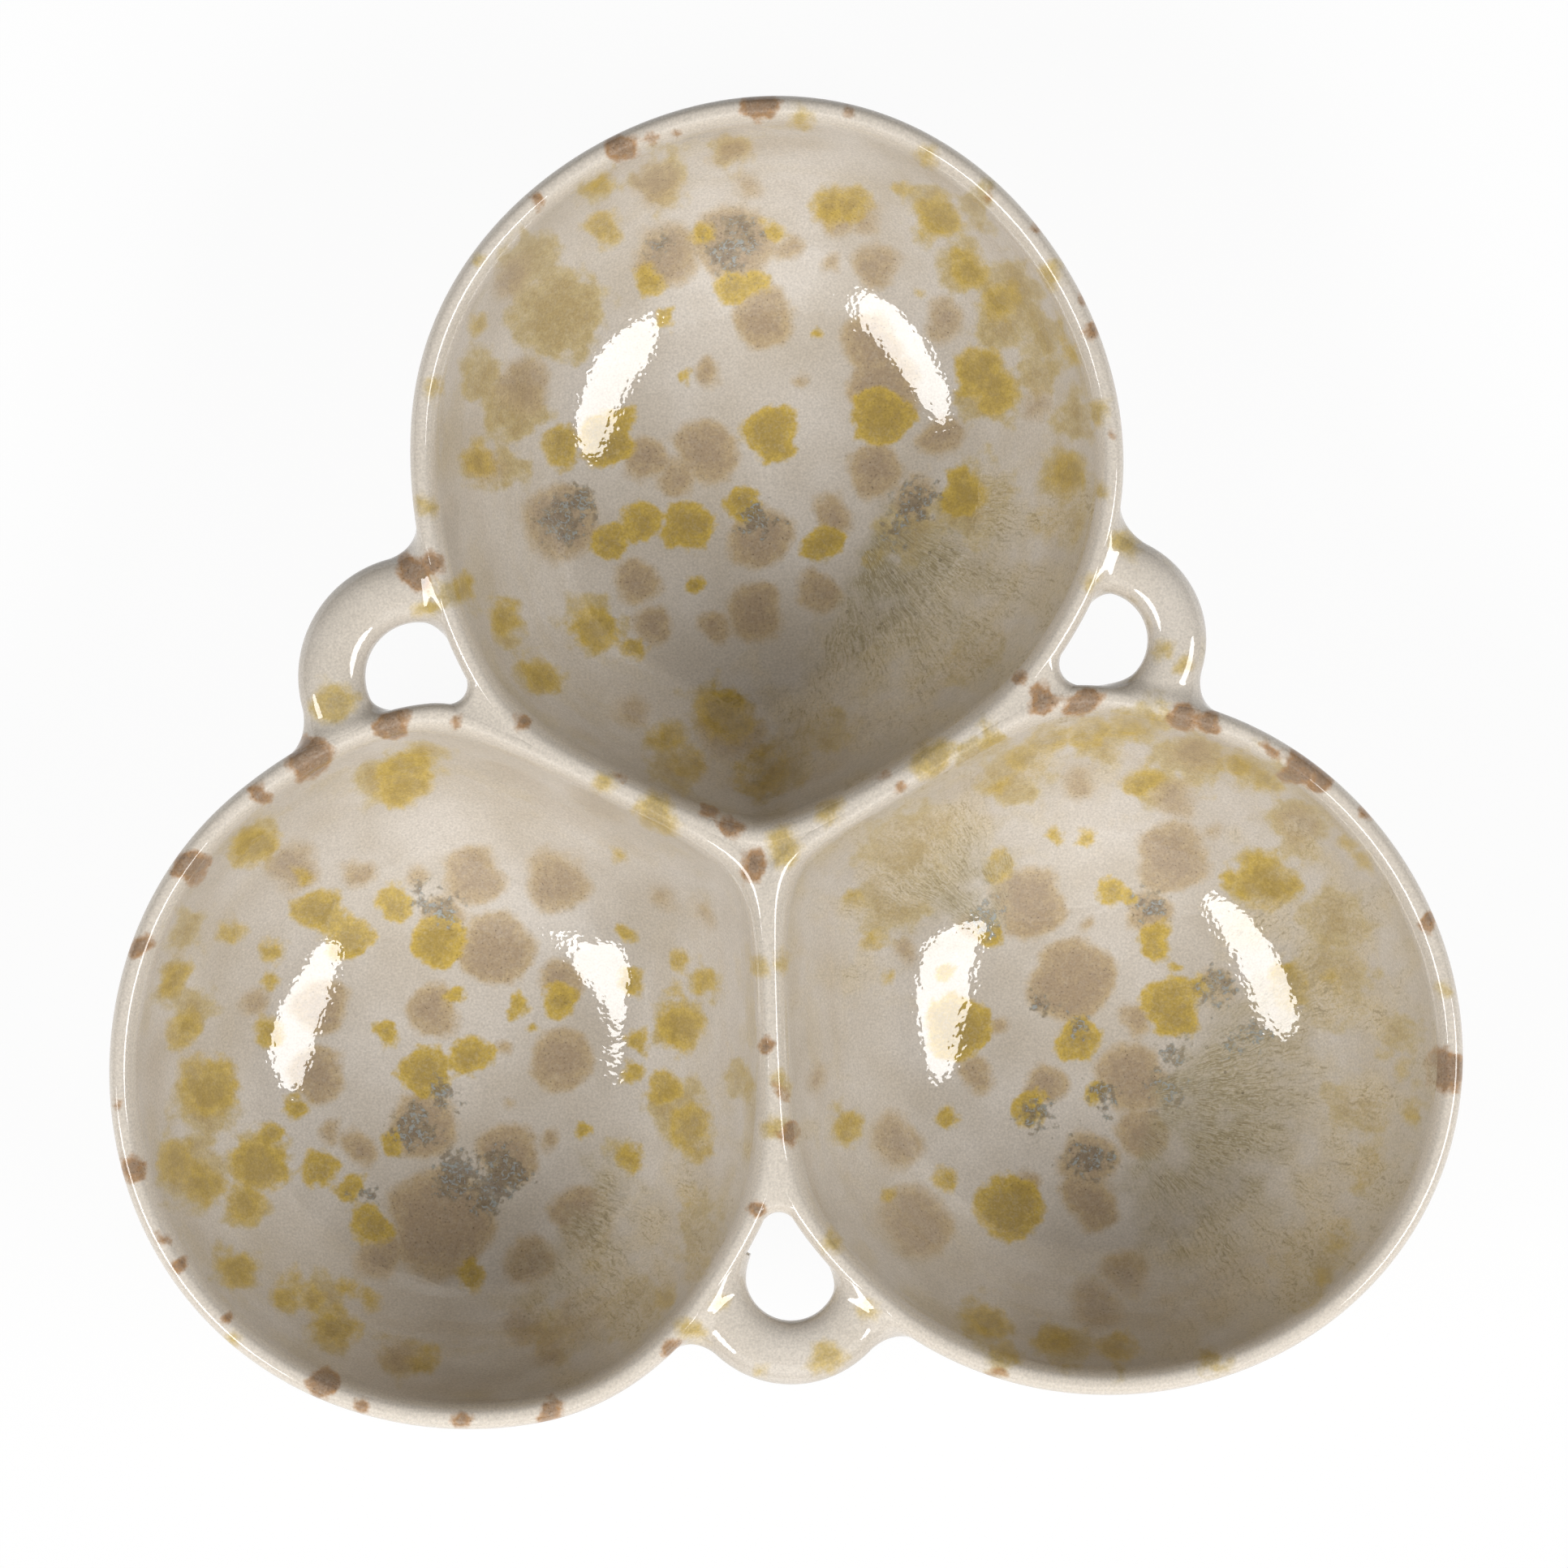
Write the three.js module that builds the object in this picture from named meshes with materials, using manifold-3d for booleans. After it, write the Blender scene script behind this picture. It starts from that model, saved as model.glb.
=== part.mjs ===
// A triple snack bowl in glazed stoneware: three thrown bowls pressed against each other, a loop handle
// over each finger hole between two of them, and a foot ring under every bowl.
// Lengths are millimetres, angles are degrees, +Z is up and the rear bowl lies towards +Y.
import * as THREE from "three";
import { mergeVertices } from "three/addons/utils/BufferGeometryUtils.js";
import Module from "manifold-3d";

// Walls and floors, the same for every bowl.
const RIM_HEIGHT = 55; // table to the crest of the rims
const FOOT_LIFT = 2; // table to the undersides of the bowls
const WALL = 5; // thickness of the wall and the rim
const FLOOR = 7; // thickness in the middle of the floor
const RIM_CREST = 1.9; // outside of the wall to the crest of the rim
const RIM_ROUND = 2.6; // height of the rim's rounding outside its crest
const RIM_ROLL = 4.5; // height of the longer rounding inside its crest
const ROLL_POWER = 2.7; // how that rounding falls away from the crest: 2 is a parabola
const FULLNESS = 2.2; // exponent of the wall's curve: 2 is an ellipse, more is fuller
const WELL_FULLNESS = 2.6; // the same for the inside
const WELL_SWEEP = 68; // how much of the curve's quarter turn the inside runs through, so that it leans out
const SLIP_GAP = 0.3; // clearance between luted pieces

// The outsides of the rims.
const REAR_RADIUS = 63;
const LEFT_RADIUS = 63.9;
const RIGHT_RADIUS = 62.3;

// The bowls. Wobble is the unevenness left by the wheel, in so many lobes round the rim, one of them
// at the phase bearing. Press is how far a hand has swelled or dented the wall at one bearing.
const BOWLS = {
  rear: { radius: REAR_RADIUS, wobble: 0.55, lobes: 4, phase: 75, press: 8, pressAt: 255, pressSpread: 80 },
  left: { radius: LEFT_RADIUS, wobble: 0.3, lobes: 4, phase: 222, press: -5, pressAt: 332, pressSpread: 50 },
  right: { radius: RIGHT_RADIUS, wobble: 0.6, lobes: 3, phase: 335, press: 8, pressAt: 150, pressSpread: 80 },
};

// The seams. Overlap is how far the two round outlines would run into each other. Bite is how far
// inside the first bowl's radius the flat seam lies, and the second bowl gives up the rest.
const SEAMS = {
  rear_left: { first: "rear", second: "left", overlap: 4.9, bite: -2.2 },
  rear_right: { first: "rear", second: "right", overlap: 3.3, bite: 0.6 },
  front: { first: "left", second: "right", overlap: 11.9, bite: 9.6 },
};
const FRONT_TURN = 2.1; // bearing of the right bowl's axis from the left one's
const SEAM_WALL = 2.85; // wall left to each bowl at a flat seam
const SEAM_BLEND_WIDTH = 7; // how softly a round wall turns into its flat seam
const SEAM_DROP = 2.5; // rim crest to the top of the clay worked into a seam
const SEAM_FILL = 9; // depth of that clay below the line where the bowls part
const SEAM_REACH = 7; // how far it may spread to each side of the seam

// The plug between the three bowls.
const WEB_RADIUS = 10;
const WEB_DEPTH = 20;
const WEB_DROP = 3; // rim crest to the edge of its top
const WEB_DISH = 1.5; // how deep the top is dished

// The handles. A standoff is how far the middle of the finger hole lies outside the radius of the seam's
// first or second bowl, bend the radius of the strap's middle line, and throat the hole's reach from its
// middle to the seam.
const HANDLES = {
  left: { seam: "rear_left", firstStandoff: 10.5, secondStandoff: 6.7, bend: 15.6, width: 12, throat: 9.6 },
  right: { seam: "rear_right", firstStandoff: 4.9, secondStandoff: 10.1, bend: 13.7, width: 10.5, throat: 8 },
  front: { seam: "front", firstStandoff: 4.1, secondStandoff: 7.5, bend: 13.8, width: 11.4, throat: 11.4 },
};
const STRAP_HEIGHT = 9; // thickness of a strap from top to bottom
const STRAP_DROP = 1.2; // rim crest to the top of a strap
const STRAP_SWEEP = 100; // bend to each side of the strap's middle, run on into the bowl walls
const ROOT_START = 40; // bearing from the strap's middle where its roots begin to spread
const ROOT_SPREAD = 1.3; // how many times thicker a strap is where it meets a bowl

// The foot rings.
const FOOT_RADIUS = 26; // outside
const FOOT_WIDTH = 6;
const FOOT_EDGE = 0.8; // rounding of the edges that touch the table
const FOOT_FLARE = 1.5; // how much a ring widens from the table to the bowl

// Fineness of the surfaces.
const BOWL_SIDES = 60;
const WALL_ROWS = 9;
const ROLL_ROWS = 5;
const ROUND_ROWS = 3;
const STRAP_SIDES = 14;
const STRAP_STEPS = 24;
const FOOT_SIDES = 30;
const WEB_SIDES = 32;
const SEAM_STEPS = 14;
const HALVINGS = 24; // steps of the search for the height where two walls part
const WELD = 1e-4; // points closer than this are one point

// Finishes.
const GLAZE = new THREE.MeshStandardMaterial({ color: "#cfc4b6", roughness: 0.22, metalness: 0 });
const POOLED_GLAZE = new THREE.MeshStandardMaterial({ color: "#c5a863", roughness: 0.22, metalness: 0 });
const BARE_CLAY = new THREE.MeshStandardMaterial({ color: "#b79f82", roughness: 0.85, metalness: 0 });

const wasm = await Module();
wasm.setup();

const radians = THREE.MathUtils.degToRad;
const heading = (bearing) => new THREE.Vector2(Math.cos(radians(bearing)), Math.sin(radians(bearing)));
const RIM_BASE = RIM_HEIGHT - RIM_ROUND;
const ROLL_BASE = RIM_HEIGHT - RIM_ROLL;
const ABOVE_RIM = RIM_HEIGHT + STRAP_HEIGHT;

// A closed geometry as a solid that can be joined and cut.
function solidOf(geometry) {
  const bare = new THREE.BufferGeometry();
  bare.setAttribute("position", geometry.getAttribute("position"));
  bare.setIndex(geometry.index);
  const merged = mergeVertices(bare, WELD);
  return new wasm.Manifold(
    new wasm.Mesh({
      numProp: 3,
      vertProperties: merged.getAttribute("position").array,
      triVerts: new Uint32Array(merged.index.array),
    }),
  );
}

// The largest body of a solid, as a geometry. Cutting can leave small chips beside it.
function geometryOf(solid) {
  const bodies = solid.decompose();
  const largest = bodies.reduce((best, body) => (body.volume() > best.volume() ? body : best));
  const { vertProperties, triVerts } = largest.getMesh();
  const geometry = new THREE.BufferGeometry();
  geometry.setAttribute("position", new THREE.BufferAttribute(vertProperties, 3));
  geometry.setIndex(new THREE.BufferAttribute(triVerts, 1));
  return geometry;
}

// The point at one distance from a and another from b, on the left of the way from a to b
// for a side of 1 and on its right for a side of -1.
function pointBetween(a, fromA, b, fromB, side) {
  const along = b.clone().sub(a);
  const spacing = along.length();
  along.normalize();
  const step = (spacing ** 2 + fromA ** 2 - fromB ** 2) / (2 * spacing);
  const across = new THREE.Vector2(-along.y, along.x);
  const aside = side * Math.sqrt(fromA ** 2 - step ** 2);
  return a.clone().addScaledVector(along, step).addScaledVector(across, aside);
}

// Where the bowls stand: each pair is as far apart as its radii less its overlap.
function spacing({ first, second, overlap }) {
  return BOWLS[first].radius + BOWLS[second].radius - overlap;
}
BOWLS.left.centre = new THREE.Vector2();
BOWLS.right.centre = heading(FRONT_TURN).multiplyScalar(spacing(SEAMS.front));
BOWLS.rear.centre = pointBetween(
  BOWLS.left.centre,
  spacing(SEAMS.rear_left),
  BOWLS.right.centre,
  spacing(SEAMS.rear_right),
  1,
);

// Each seam is an upright plane square to the line between two bowl axes. A bowl keeps its planes as
// bearings and distances from its own axis.
for (const seam of Object.values(SEAMS)) {
  const first = BOWLS[seam.first];
  const second = BOWLS[seam.second];
  seam.normal = second.centre.clone().sub(first.centre).normalize();
  seam.offset = seam.normal.dot(first.centre) + first.radius - seam.bite;
  const planes = [
    [first, seam.normal, first.radius - seam.bite],
    [second, seam.normal.clone().negate(), second.radius - seam.overlap + seam.bite],
  ];
  for (const [bowl, normal, distance] of planes) {
    bowl.planes ??= [];
    bowl.planes.push({ bearing: normal.angle(), distance });
  }
}

// The point that two seam planes share, and the junction: the middle of the three such points.
function crossing(one, other) {
  const scale = one.normal.cross(other.normal);
  return new THREE.Vector2(
    (one.offset * other.normal.y - other.offset * one.normal.y) / scale,
    (other.offset * one.normal.x - one.offset * other.normal.x) / scale,
  );
}
const junction = new THREE.Vector2()
  .add(crossing(SEAMS.rear_left, SEAMS.rear_right))
  .add(crossing(SEAMS.rear_right, SEAMS.front))
  .add(crossing(SEAMS.front, SEAMS.rear_left))
  .divideScalar(3);

// The lesser of two lengths, rounded off where they are nearly alike.
function softMin(a, b, blend) {
  const share = Math.max(blend - Math.abs(a - b), 0) / blend;
  return Math.min(a, b) - (share ** 2 * blend) / 4;
}

// How far the uneven rim stands out from a true circle at an angle in radians.
function unevenness({ wobble, lobes, phase, press, pressAt, pressSpread }, angle) {
  const lobe = wobble * Math.cos(lobes * (angle - radians(phase)));
  const turn = angle - radians(pressAt) + Math.PI;
  const away = Math.abs(THREE.MathUtils.euclideanModulo(turn, 2 * Math.PI) - Math.PI);
  const near = Math.min(away / radians(pressSpread), 1);
  return lobe + (press * (1 + Math.cos(Math.PI * near))) / 2;
}

// Plan distance from a bowl's axis to a point of its wall. Round is the point's radius on a true bowl
// and outward its distance from the inner face: 0 on the inner face, the whole wall on the outer one.
// The unevenness fades out towards the foot, and the inner face flattens in front of each seam.
function wallDistance(bowl, angle, round, outward) {
  const outer = round + WALL - outward;
  const fade = THREE.MathUtils.clamp((outer - FOOT_RADIUS) / (bowl.radius - FOOT_RADIUS), 0, 1) ** 2;
  let inner = outer + fade * unevenness(bowl, angle) - WALL;
  for (const { bearing, distance } of bowl.planes) {
    const facing = Math.cos(angle - bearing);
    const flat = (distance - SLIP_GAP / 2 - SEAM_WALL) / facing;
    if (facing > 0) inner = softMin(inner, flat, SEAM_BLEND_WIDTH);
  }
  return inner + outward;
}

// The same distance, cut off at the flat seams.
function cutDistance(bowl, angle, round, outward) {
  let reach = wallDistance(bowl, angle, round, outward);
  for (const { bearing, distance } of bowl.planes) {
    const facing = Math.cos(angle - bearing);
    if (facing > 0) reach = Math.min(reach, (distance - SLIP_GAP / 2) / facing);
  }
  return reach;
}

// A point of a wall's curve, a part of a superellipse's quarter that runs through the sweep. Share 0 is
// on the axis at the bottom and share 1 at the top.
function curvePoint(share, sweep, fullness, radius, bottom, top) {
  const power = 2 / fullness;
  const out = (angle) => Math.sin(radians(angle)) ** power;
  const up = (angle) => 1 - Math.abs(Math.cos(radians(angle))) ** power;
  return {
    round: (radius * out(share * sweep)) / out(sweep),
    height: bottom + ((top - bottom) * up(share * sweep)) / up(sweep),
  };
}

function innerCurve(bowl, share) {
  const floor = FOOT_LIFT + FLOOR;
  const point = curvePoint(share, WELL_SWEEP, WELL_FULLNESS, bowl.radius - WALL, floor, ROLL_BASE);
  return { ...point, outward: 0 };
}

function outerCurve(bowl, share) {
  return { ...curvePoint(share, 90, FULLNESS, bowl.radius, FOOT_LIFT, RIM_BASE), outward: WALL };
}

// A point of the rim: side -1 is at the top of the inner face, 0 on the crest and 1 on the outer face.
function rimPoint(bowl, side) {
  const crest = WALL - RIM_CREST;
  const turn = (side * Math.PI) / 2;
  const outward = side < 0 ? crest * (1 + side) : crest + RIM_CREST * Math.sin(turn);
  const fall = side < 0 ? RIM_ROLL * (-side) ** ROLL_POWER : RIM_ROUND * (1 - Math.cos(turn));
  return { round: bowl.radius - WALL + outward, height: RIM_HEIGHT - fall, outward };
}

// Turns a profile round a bowl's axis and pulls it to the bowl's uneven plan. Grow pushes it outwards.
function turned(bowl, profile, grow = 0) {
  const points = profile.map(({ round, height }) => new THREE.Vector2(round, height));
  const lathe = new THREE.LatheGeometry(points, BOWL_SIDES);
  const position = lathe.getAttribute("position");
  for (let i = 0; i < position.count; i++) {
    const { round, height, outward } = profile[i % profile.length];
    const side = Math.floor(i / profile.length) % BOWL_SIDES;
    const angle = (side / BOWL_SIDES) * 2 * Math.PI;
    const onAxis = round === 0;
    const reach = onAxis ? 0 : cutDistance(bowl, angle, round, outward) + grow;
    position.setXYZ(i, reach * Math.cos(angle), reach * Math.sin(angle), height);
  }
  return lathe;
}

// A bowl round its own axis: up the inner face, over the rim and down the outer face.
function bowlGeometry(bowl) {
  const rows = [...Array(WALL_ROWS + 1).keys()].map((row) => row / WALL_ROWS);
  const inside = rows.map((share) => innerCurve(bowl, share));
  const outside = rows.map((share) => outerCurve(bowl, share));
  const rim = [];
  for (let row = 1 - ROLL_ROWS; row < ROUND_ROWS; row++) {
    rim.push(rimPoint(bowl, row / (row < 0 ? ROLL_ROWS : ROUND_ROWS)));
  }
  return turned(bowl, [...inside, ...rim, ...outside.reverse()].reverse());
}

// Everything inside a bowl's outer face, up past the rim, with the slip's clearance round it: what a
// neighbour that is luted to the bowl is trimmed with.
function trimmer(bowl) {
  const outside = [...Array(WALL_ROWS + 1).keys()].map((row) => outerCurve(bowl, row / WALL_ROWS));
  for (const point of outside) point.height -= SLIP_GAP;
  const brim = { ...outside.at(-1), height: ABOVE_RIM };
  const lid = { round: 0, height: ABOVE_RIM, outward: WALL };
  return solidOf(turned(bowl, [...outside, brim, lid], SLIP_GAP));
}

// A foot ring round its bowl's axis, trimmed to the underside that it carries.
function footGeometry(bowl) {
  const inside = FOOT_RADIUS - FOOT_WIDTH;
  const top = FOOT_LIFT + FLOOR;
  const profile = [
    [inside + FOOT_EDGE, 0],
    [FOOT_RADIUS - FOOT_EDGE - FOOT_FLARE, 0],
    [FOOT_RADIUS - FOOT_FLARE, FOOT_EDGE],
    [FOOT_RADIUS, top],
    [inside, top],
    [inside, FOOT_EDGE],
    [inside + FOOT_EDGE, 0],
  ];
  const ring = new THREE.LatheGeometry(profile.map(([x, y]) => new THREE.Vector2(x, y)), FOOT_SIDES);
  return geometryOf(solidOf(ring.rotateX(Math.PI / 2)).subtract(trimmer(bowl)));
}

// The trimming solids where the bowls stand.
const trimmers = {};
for (const [name, bowl] of Object.entries(BOWLS)) {
  trimmers[name] = trimmer(bowl).translate([bowl.centre.x, bowl.centre.y, 0]);
}

// The middle of a finger hole, outside both bowls at the end of their seam.
for (const handle of Object.values(HANDLES)) {
  const seam = SEAMS[handle.seam];
  const first = BOWLS[seam.first];
  const second = BOWLS[seam.second];
  const middles = [1, -1].map((side) =>
    pointBetween(
      first.centre,
      first.radius + handle.firstStandoff,
      second.centre,
      second.radius + handle.secondStandoff,
      side,
    ),
  );
  handle.centre = middles.reduce((far, point) =>
    point.distanceTo(junction) > far.distanceTo(junction) ? point : far,
  );
  seam.outward = handle.centre.clone().sub(junction).normalize();
  seam.length = handle.centre.distanceTo(junction) - handle.throat;
}

// A handle: an upright ellipse drawn out along an arc about the finger hole. Its outer side, top and
// underside spread at the roots, and both ends are trimmed to the bowls that they are luted to.
function handleGeometry({ seam, centre, bend, width }) {
  const section = new THREE.Shape().absellipse(0, 0, width / 2, STRAP_HEIGHT / 2, 0, 2 * Math.PI);
  const strap = new THREE.ExtrudeGeometry(section, {
    depth: 1,
    steps: STRAP_STEPS,
    curveSegments: STRAP_SIDES / 2,
    bevelEnabled: false,
  });
  const middle = SEAMS[seam].outward.angle();
  const level = RIM_HEIGHT - STRAP_DROP - STRAP_HEIGHT / 2;
  const position = strap.getAttribute("position");
  for (let i = 0; i < position.count; i++) {
    const turn = STRAP_SWEEP * (1 - 2 * position.getZ(i));
    const root = THREE.MathUtils.smoothstep(Math.abs(turn), ROOT_START, STRAP_SWEEP);
    const spread = 1 + (ROOT_SPREAD - 1) * root;
    const out = position.getX(i) * (position.getX(i) > 0 ? spread : 1);
    const angle = middle + radians(turn);
    position.setXYZ(
      i,
      centre.x + (bend + out) * Math.cos(angle),
      centre.y + (bend + out) * Math.sin(angle),
      level + position.getY(i) * spread,
    );
  }
  const { first, second } = SEAMS[seam];
  return geometryOf(solidOf(strap).subtract(trimmers[first]).subtract(trimmers[second]));
}

// The height at which a bowl's outer face leaves a seam plane, at a point of that plane. Where the
// bowl doesn't reach the plane at all this is the foot of its rounded rim.
function partingHeight(bowl, point) {
  const spoke = point.clone().sub(bowl.centre);
  const reaches = (share) => {
    const { round, outward } = outerCurve(bowl, share);
    return wallDistance(bowl, spoke.angle(), round, outward) > spoke.length();
  };
  let low = 0;
  let high = 1;
  for (let halving = 0; halving < HALVINGS; halving++) {
    const middle = (low + high) / 2;
    if (reaches(middle)) high = middle;
    else low = middle;
  }
  return outerCurve(bowl, high).height;
}

// The plug column that the seam clay stops against, up past the rim and down past the foot.
function webColumn(radius) {
  const column = new THREE.CylinderGeometry(radius, radius, 2 * ABOVE_RIM, WEB_SIDES);
  return solidOf(column.rotateX(Math.PI / 2).translate(junction.x, junction.y, 0));
}

// The clay worked into the groove under a seam: a plate in the seam plane whose lower edge follows the
// line where the two walls part, trimmed to both bowls and to the plug.
function seamGeometry({ first, second, normal, outward, length }) {
  const along = new THREE.Vector2(-normal.y, normal.x);
  if (along.dot(outward) < 0) along.negate();
  const top = RIM_HEIGHT - SEAM_DROP;
  const edge = [];
  for (let step = SEAM_STEPS; step >= 0; step--) {
    const reach = (length * step) / SEAM_STEPS;
    const point = junction.clone().addScaledVector(along, reach);
    const parting = Math.max(partingHeight(BOWLS[first], point), partingHeight(BOWLS[second], point));
    edge.push(new THREE.Vector2(reach, parting - SEAM_FILL));
  }
  const plate = new THREE.Shape([new THREE.Vector2(0, top), new THREE.Vector2(length, top), ...edge]);
  const solid = new THREE.ExtrudeGeometry(plate, { depth: 2 * SEAM_REACH, bevelEnabled: false });
  const x = new THREE.Vector3(along.x, along.y, 0);
  const y = new THREE.Vector3(0, 0, 1);
  const z = x.clone().cross(y);
  const frame = new THREE.Matrix4().makeBasis(x, y, z);
  frame.setPosition(junction.x - SEAM_REACH * z.x, junction.y - SEAM_REACH * z.y, 0);
  return geometryOf(
    solidOf(solid.applyMatrix4(frame))
      .subtract(trimmers[first])
      .subtract(trimmers[second])
      .subtract(webColumn(WEB_RADIUS + SLIP_GAP)),
  );
}

// The plug between the three bowls: a column with a dished top, trimmed to all of them.
function webGeometry() {
  const top = RIM_HEIGHT - WEB_DROP;
  const dished = (share) => [share * WEB_RADIUS, top - WEB_DISH * (1 - share ** 2)];
  const bottom = top - WEB_DEPTH;
  const profile = [[0, bottom], [WEB_RADIUS, bottom], dished(1), dished(1 / 2), dished(0)];
  const column = new THREE.LatheGeometry(profile.map(([x, y]) => new THREE.Vector2(x, y)), WEB_SIDES);
  const plug = solidOf(column.rotateX(Math.PI / 2).translate(junction.x, junction.y, 0));
  return geometryOf(plug.subtract(trimmers.rear).subtract(trimmers.left).subtract(trimmers.right));
}

// The pieces, each with its own finish, then the whole moved so that it stands on the middle of its box.
const assembly = new THREE.Group();

function addPiece(name, geometry, material, place = new THREE.Vector2()) {
  geometry.deleteAttribute("uv");
  geometry.computeVertexNormals();
  const mesh = new THREE.Mesh(geometry, material.clone());
  mesh.name = name;
  mesh.position.set(place.x, place.y, 0);
  assembly.add(mesh);
}

for (const [name, bowl] of Object.entries(BOWLS)) {
  addPiece(`${name}_bowl`, bowlGeometry(bowl), GLAZE, bowl.centre);
  addPiece(`${name}_foot_ring`, footGeometry(bowl), BARE_CLAY, bowl.centre);
}
for (const [name, handle] of Object.entries(HANDLES)) {
  addPiece(`${name}_handle`, handleGeometry(handle), GLAZE);
}
for (const [name, seam] of Object.entries(SEAMS)) {
  addPiece(`${name}_seam`, seamGeometry(seam), GLAZE);
}
addPiece("centre_web", webGeometry(), POOLED_GLAZE);

const box = new THREE.Box3().setFromObject(assembly);
const middle = box.getCenter(new THREE.Vector3());
assembly.position.set(-middle.x, -middle.y, -box.min.z);

const part = new THREE.Group();
part.add(assembly);

export default part;
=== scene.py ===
import math
from functools import partial

import bpy
import numpy as np
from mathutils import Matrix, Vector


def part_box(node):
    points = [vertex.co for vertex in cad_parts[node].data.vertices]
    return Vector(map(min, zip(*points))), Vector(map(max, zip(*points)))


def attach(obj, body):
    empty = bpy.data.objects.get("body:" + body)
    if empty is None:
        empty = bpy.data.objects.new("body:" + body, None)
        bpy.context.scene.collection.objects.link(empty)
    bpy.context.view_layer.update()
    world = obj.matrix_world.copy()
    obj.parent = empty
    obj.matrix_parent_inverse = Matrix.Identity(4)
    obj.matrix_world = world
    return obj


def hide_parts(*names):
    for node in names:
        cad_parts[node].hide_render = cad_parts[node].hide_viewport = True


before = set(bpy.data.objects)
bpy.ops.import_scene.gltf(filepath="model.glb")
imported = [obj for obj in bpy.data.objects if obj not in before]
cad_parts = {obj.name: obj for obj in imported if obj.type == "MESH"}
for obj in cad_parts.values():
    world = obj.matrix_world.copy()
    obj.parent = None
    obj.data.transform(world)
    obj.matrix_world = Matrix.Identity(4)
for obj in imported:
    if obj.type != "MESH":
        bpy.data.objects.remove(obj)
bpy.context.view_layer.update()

# The bowls.
# Three stoneware bowls, thrown on the wheel and pressed against each other while the clay was soft, so
# that each is a little uneven and goes flat where it meets a neighbour. A reactive glaze covers them all:
# a warm grey that breaks into taupe and mustard spots, blue-grey crystals and hairy runs as it cools.
MM = 0.001
RIM_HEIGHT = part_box("rear_bowl")[1].z / MM
FOOT_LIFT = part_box("rear_bowl")[0].z / MM
FOOT_RADIUS = 26
WALL = 5
FLOOR = 7
CREST = 1.9  # from the outside of the wall to the top of the rim
ROLL = WALL - CREST
ROLL_DEPTH = 4.5  # how far down inside the rim rolls over
ROLL_POWER = 2.7
RIM_ROUND = 2.6
RIM_BASE = RIM_HEIGHT - RIM_ROUND
FULLNESS = 2.2  # power of the superellipse outside
WELL_FULLNESS = 2.8
WELL_SWEEP = math.radians(69)
SEAM_WALL = 3  # from the inner face to the seam
SEAM_BLEND = 7
CREST_BLEND = 2.5
SEAM_LEAN = 0.9  # how much the flats lean out, against the depth below the rim
LEAN_START = 10  # radius of the floor that stays round
LEAST_FACING = 0.1  # keeps a seam at a distance where a wall faces away from it
SEAM_OVERLAP = 1.95  # how far a wall runs on into its neighbour's
BOWL_SIDES = 384
WELL_ROWS = 150
ROLL_ROWS = 20
ROUND_ROWS = 14
OUTSIDE_ROWS = 60
BOWLS = {
    "rear": {"radius": 63, "wobble": 0.55, "lobes": 4, "phase": 75, "swellings": ((8, 255, 80),)},
    "left": {
        "radius": 63.9, "wobble": 0.3, "lobes": 4, "phase": 222,
        "swellings": ((-5, 332, 50), (2.2, 90, 40)),
    },
    "right": {"radius": 62.3, "wobble": 0.6, "lobes": 3, "phase": 335, "swellings": ((8, 150, 80),)},
}
# Each seam's two bowls, and how far inside the first one's radius the flat lies.
SEAMS = {
    "rear_left": ("rear", "left", -2.2),
    "rear_right": ("rear", "right", 0.6),
    "front": ("left", "right", 9.6),
}

for name, bowl in BOWLS.items():
    low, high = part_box(f"{name}_foot_ring")
    bowl["axis"] = (np.array(low) + np.array(high))[:2] / 2 / MM
    bowl["planes"] = []
seam_planes = {}
for name, (first, second, bite) in SEAMS.items():
    across = BOWLS[second]["axis"] - BOWLS[first]["axis"]
    apart = np.linalg.norm(across)
    normal = across / apart
    distance = BOWLS[first]["radius"] - bite
    bearing = math.atan2(normal[1], normal[0])
    BOWLS[first]["planes"].append((bearing, distance))
    BOWLS[second]["planes"].append((bearing + math.pi, apart - distance))
    seam_planes[name] = (normal, normal @ BOWLS[first]["axis"] + distance)


def unevenness(bowl, angle):
    """How far the rim stands out from a circle: the wheel's lobes, and swellings shaped like raised cosines,
    each with its height, bearing and spread."""
    stands_out = bowl["wobble"] * np.cos(bowl["lobes"] * (angle - math.radians(bowl["phase"])))
    for swelling, bearing, spread in bowl["swellings"]:
        away = np.abs((angle - math.radians(bearing) + math.pi) % (2 * math.pi) - math.pi)
        near = np.minimum(away / math.radians(spread), 1)
        stands_out = stands_out + swelling * (1 + np.cos(math.pi * near)) / 2
    return stands_out


def eased_minimum(first, second, width):
    """The lesser of two distances, lowered by up to a quarter of a width where they come close."""
    share = np.maximum(width - np.abs(first - second), 0) / width
    return np.minimum(first, second) - share**2 * width / 4


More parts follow.
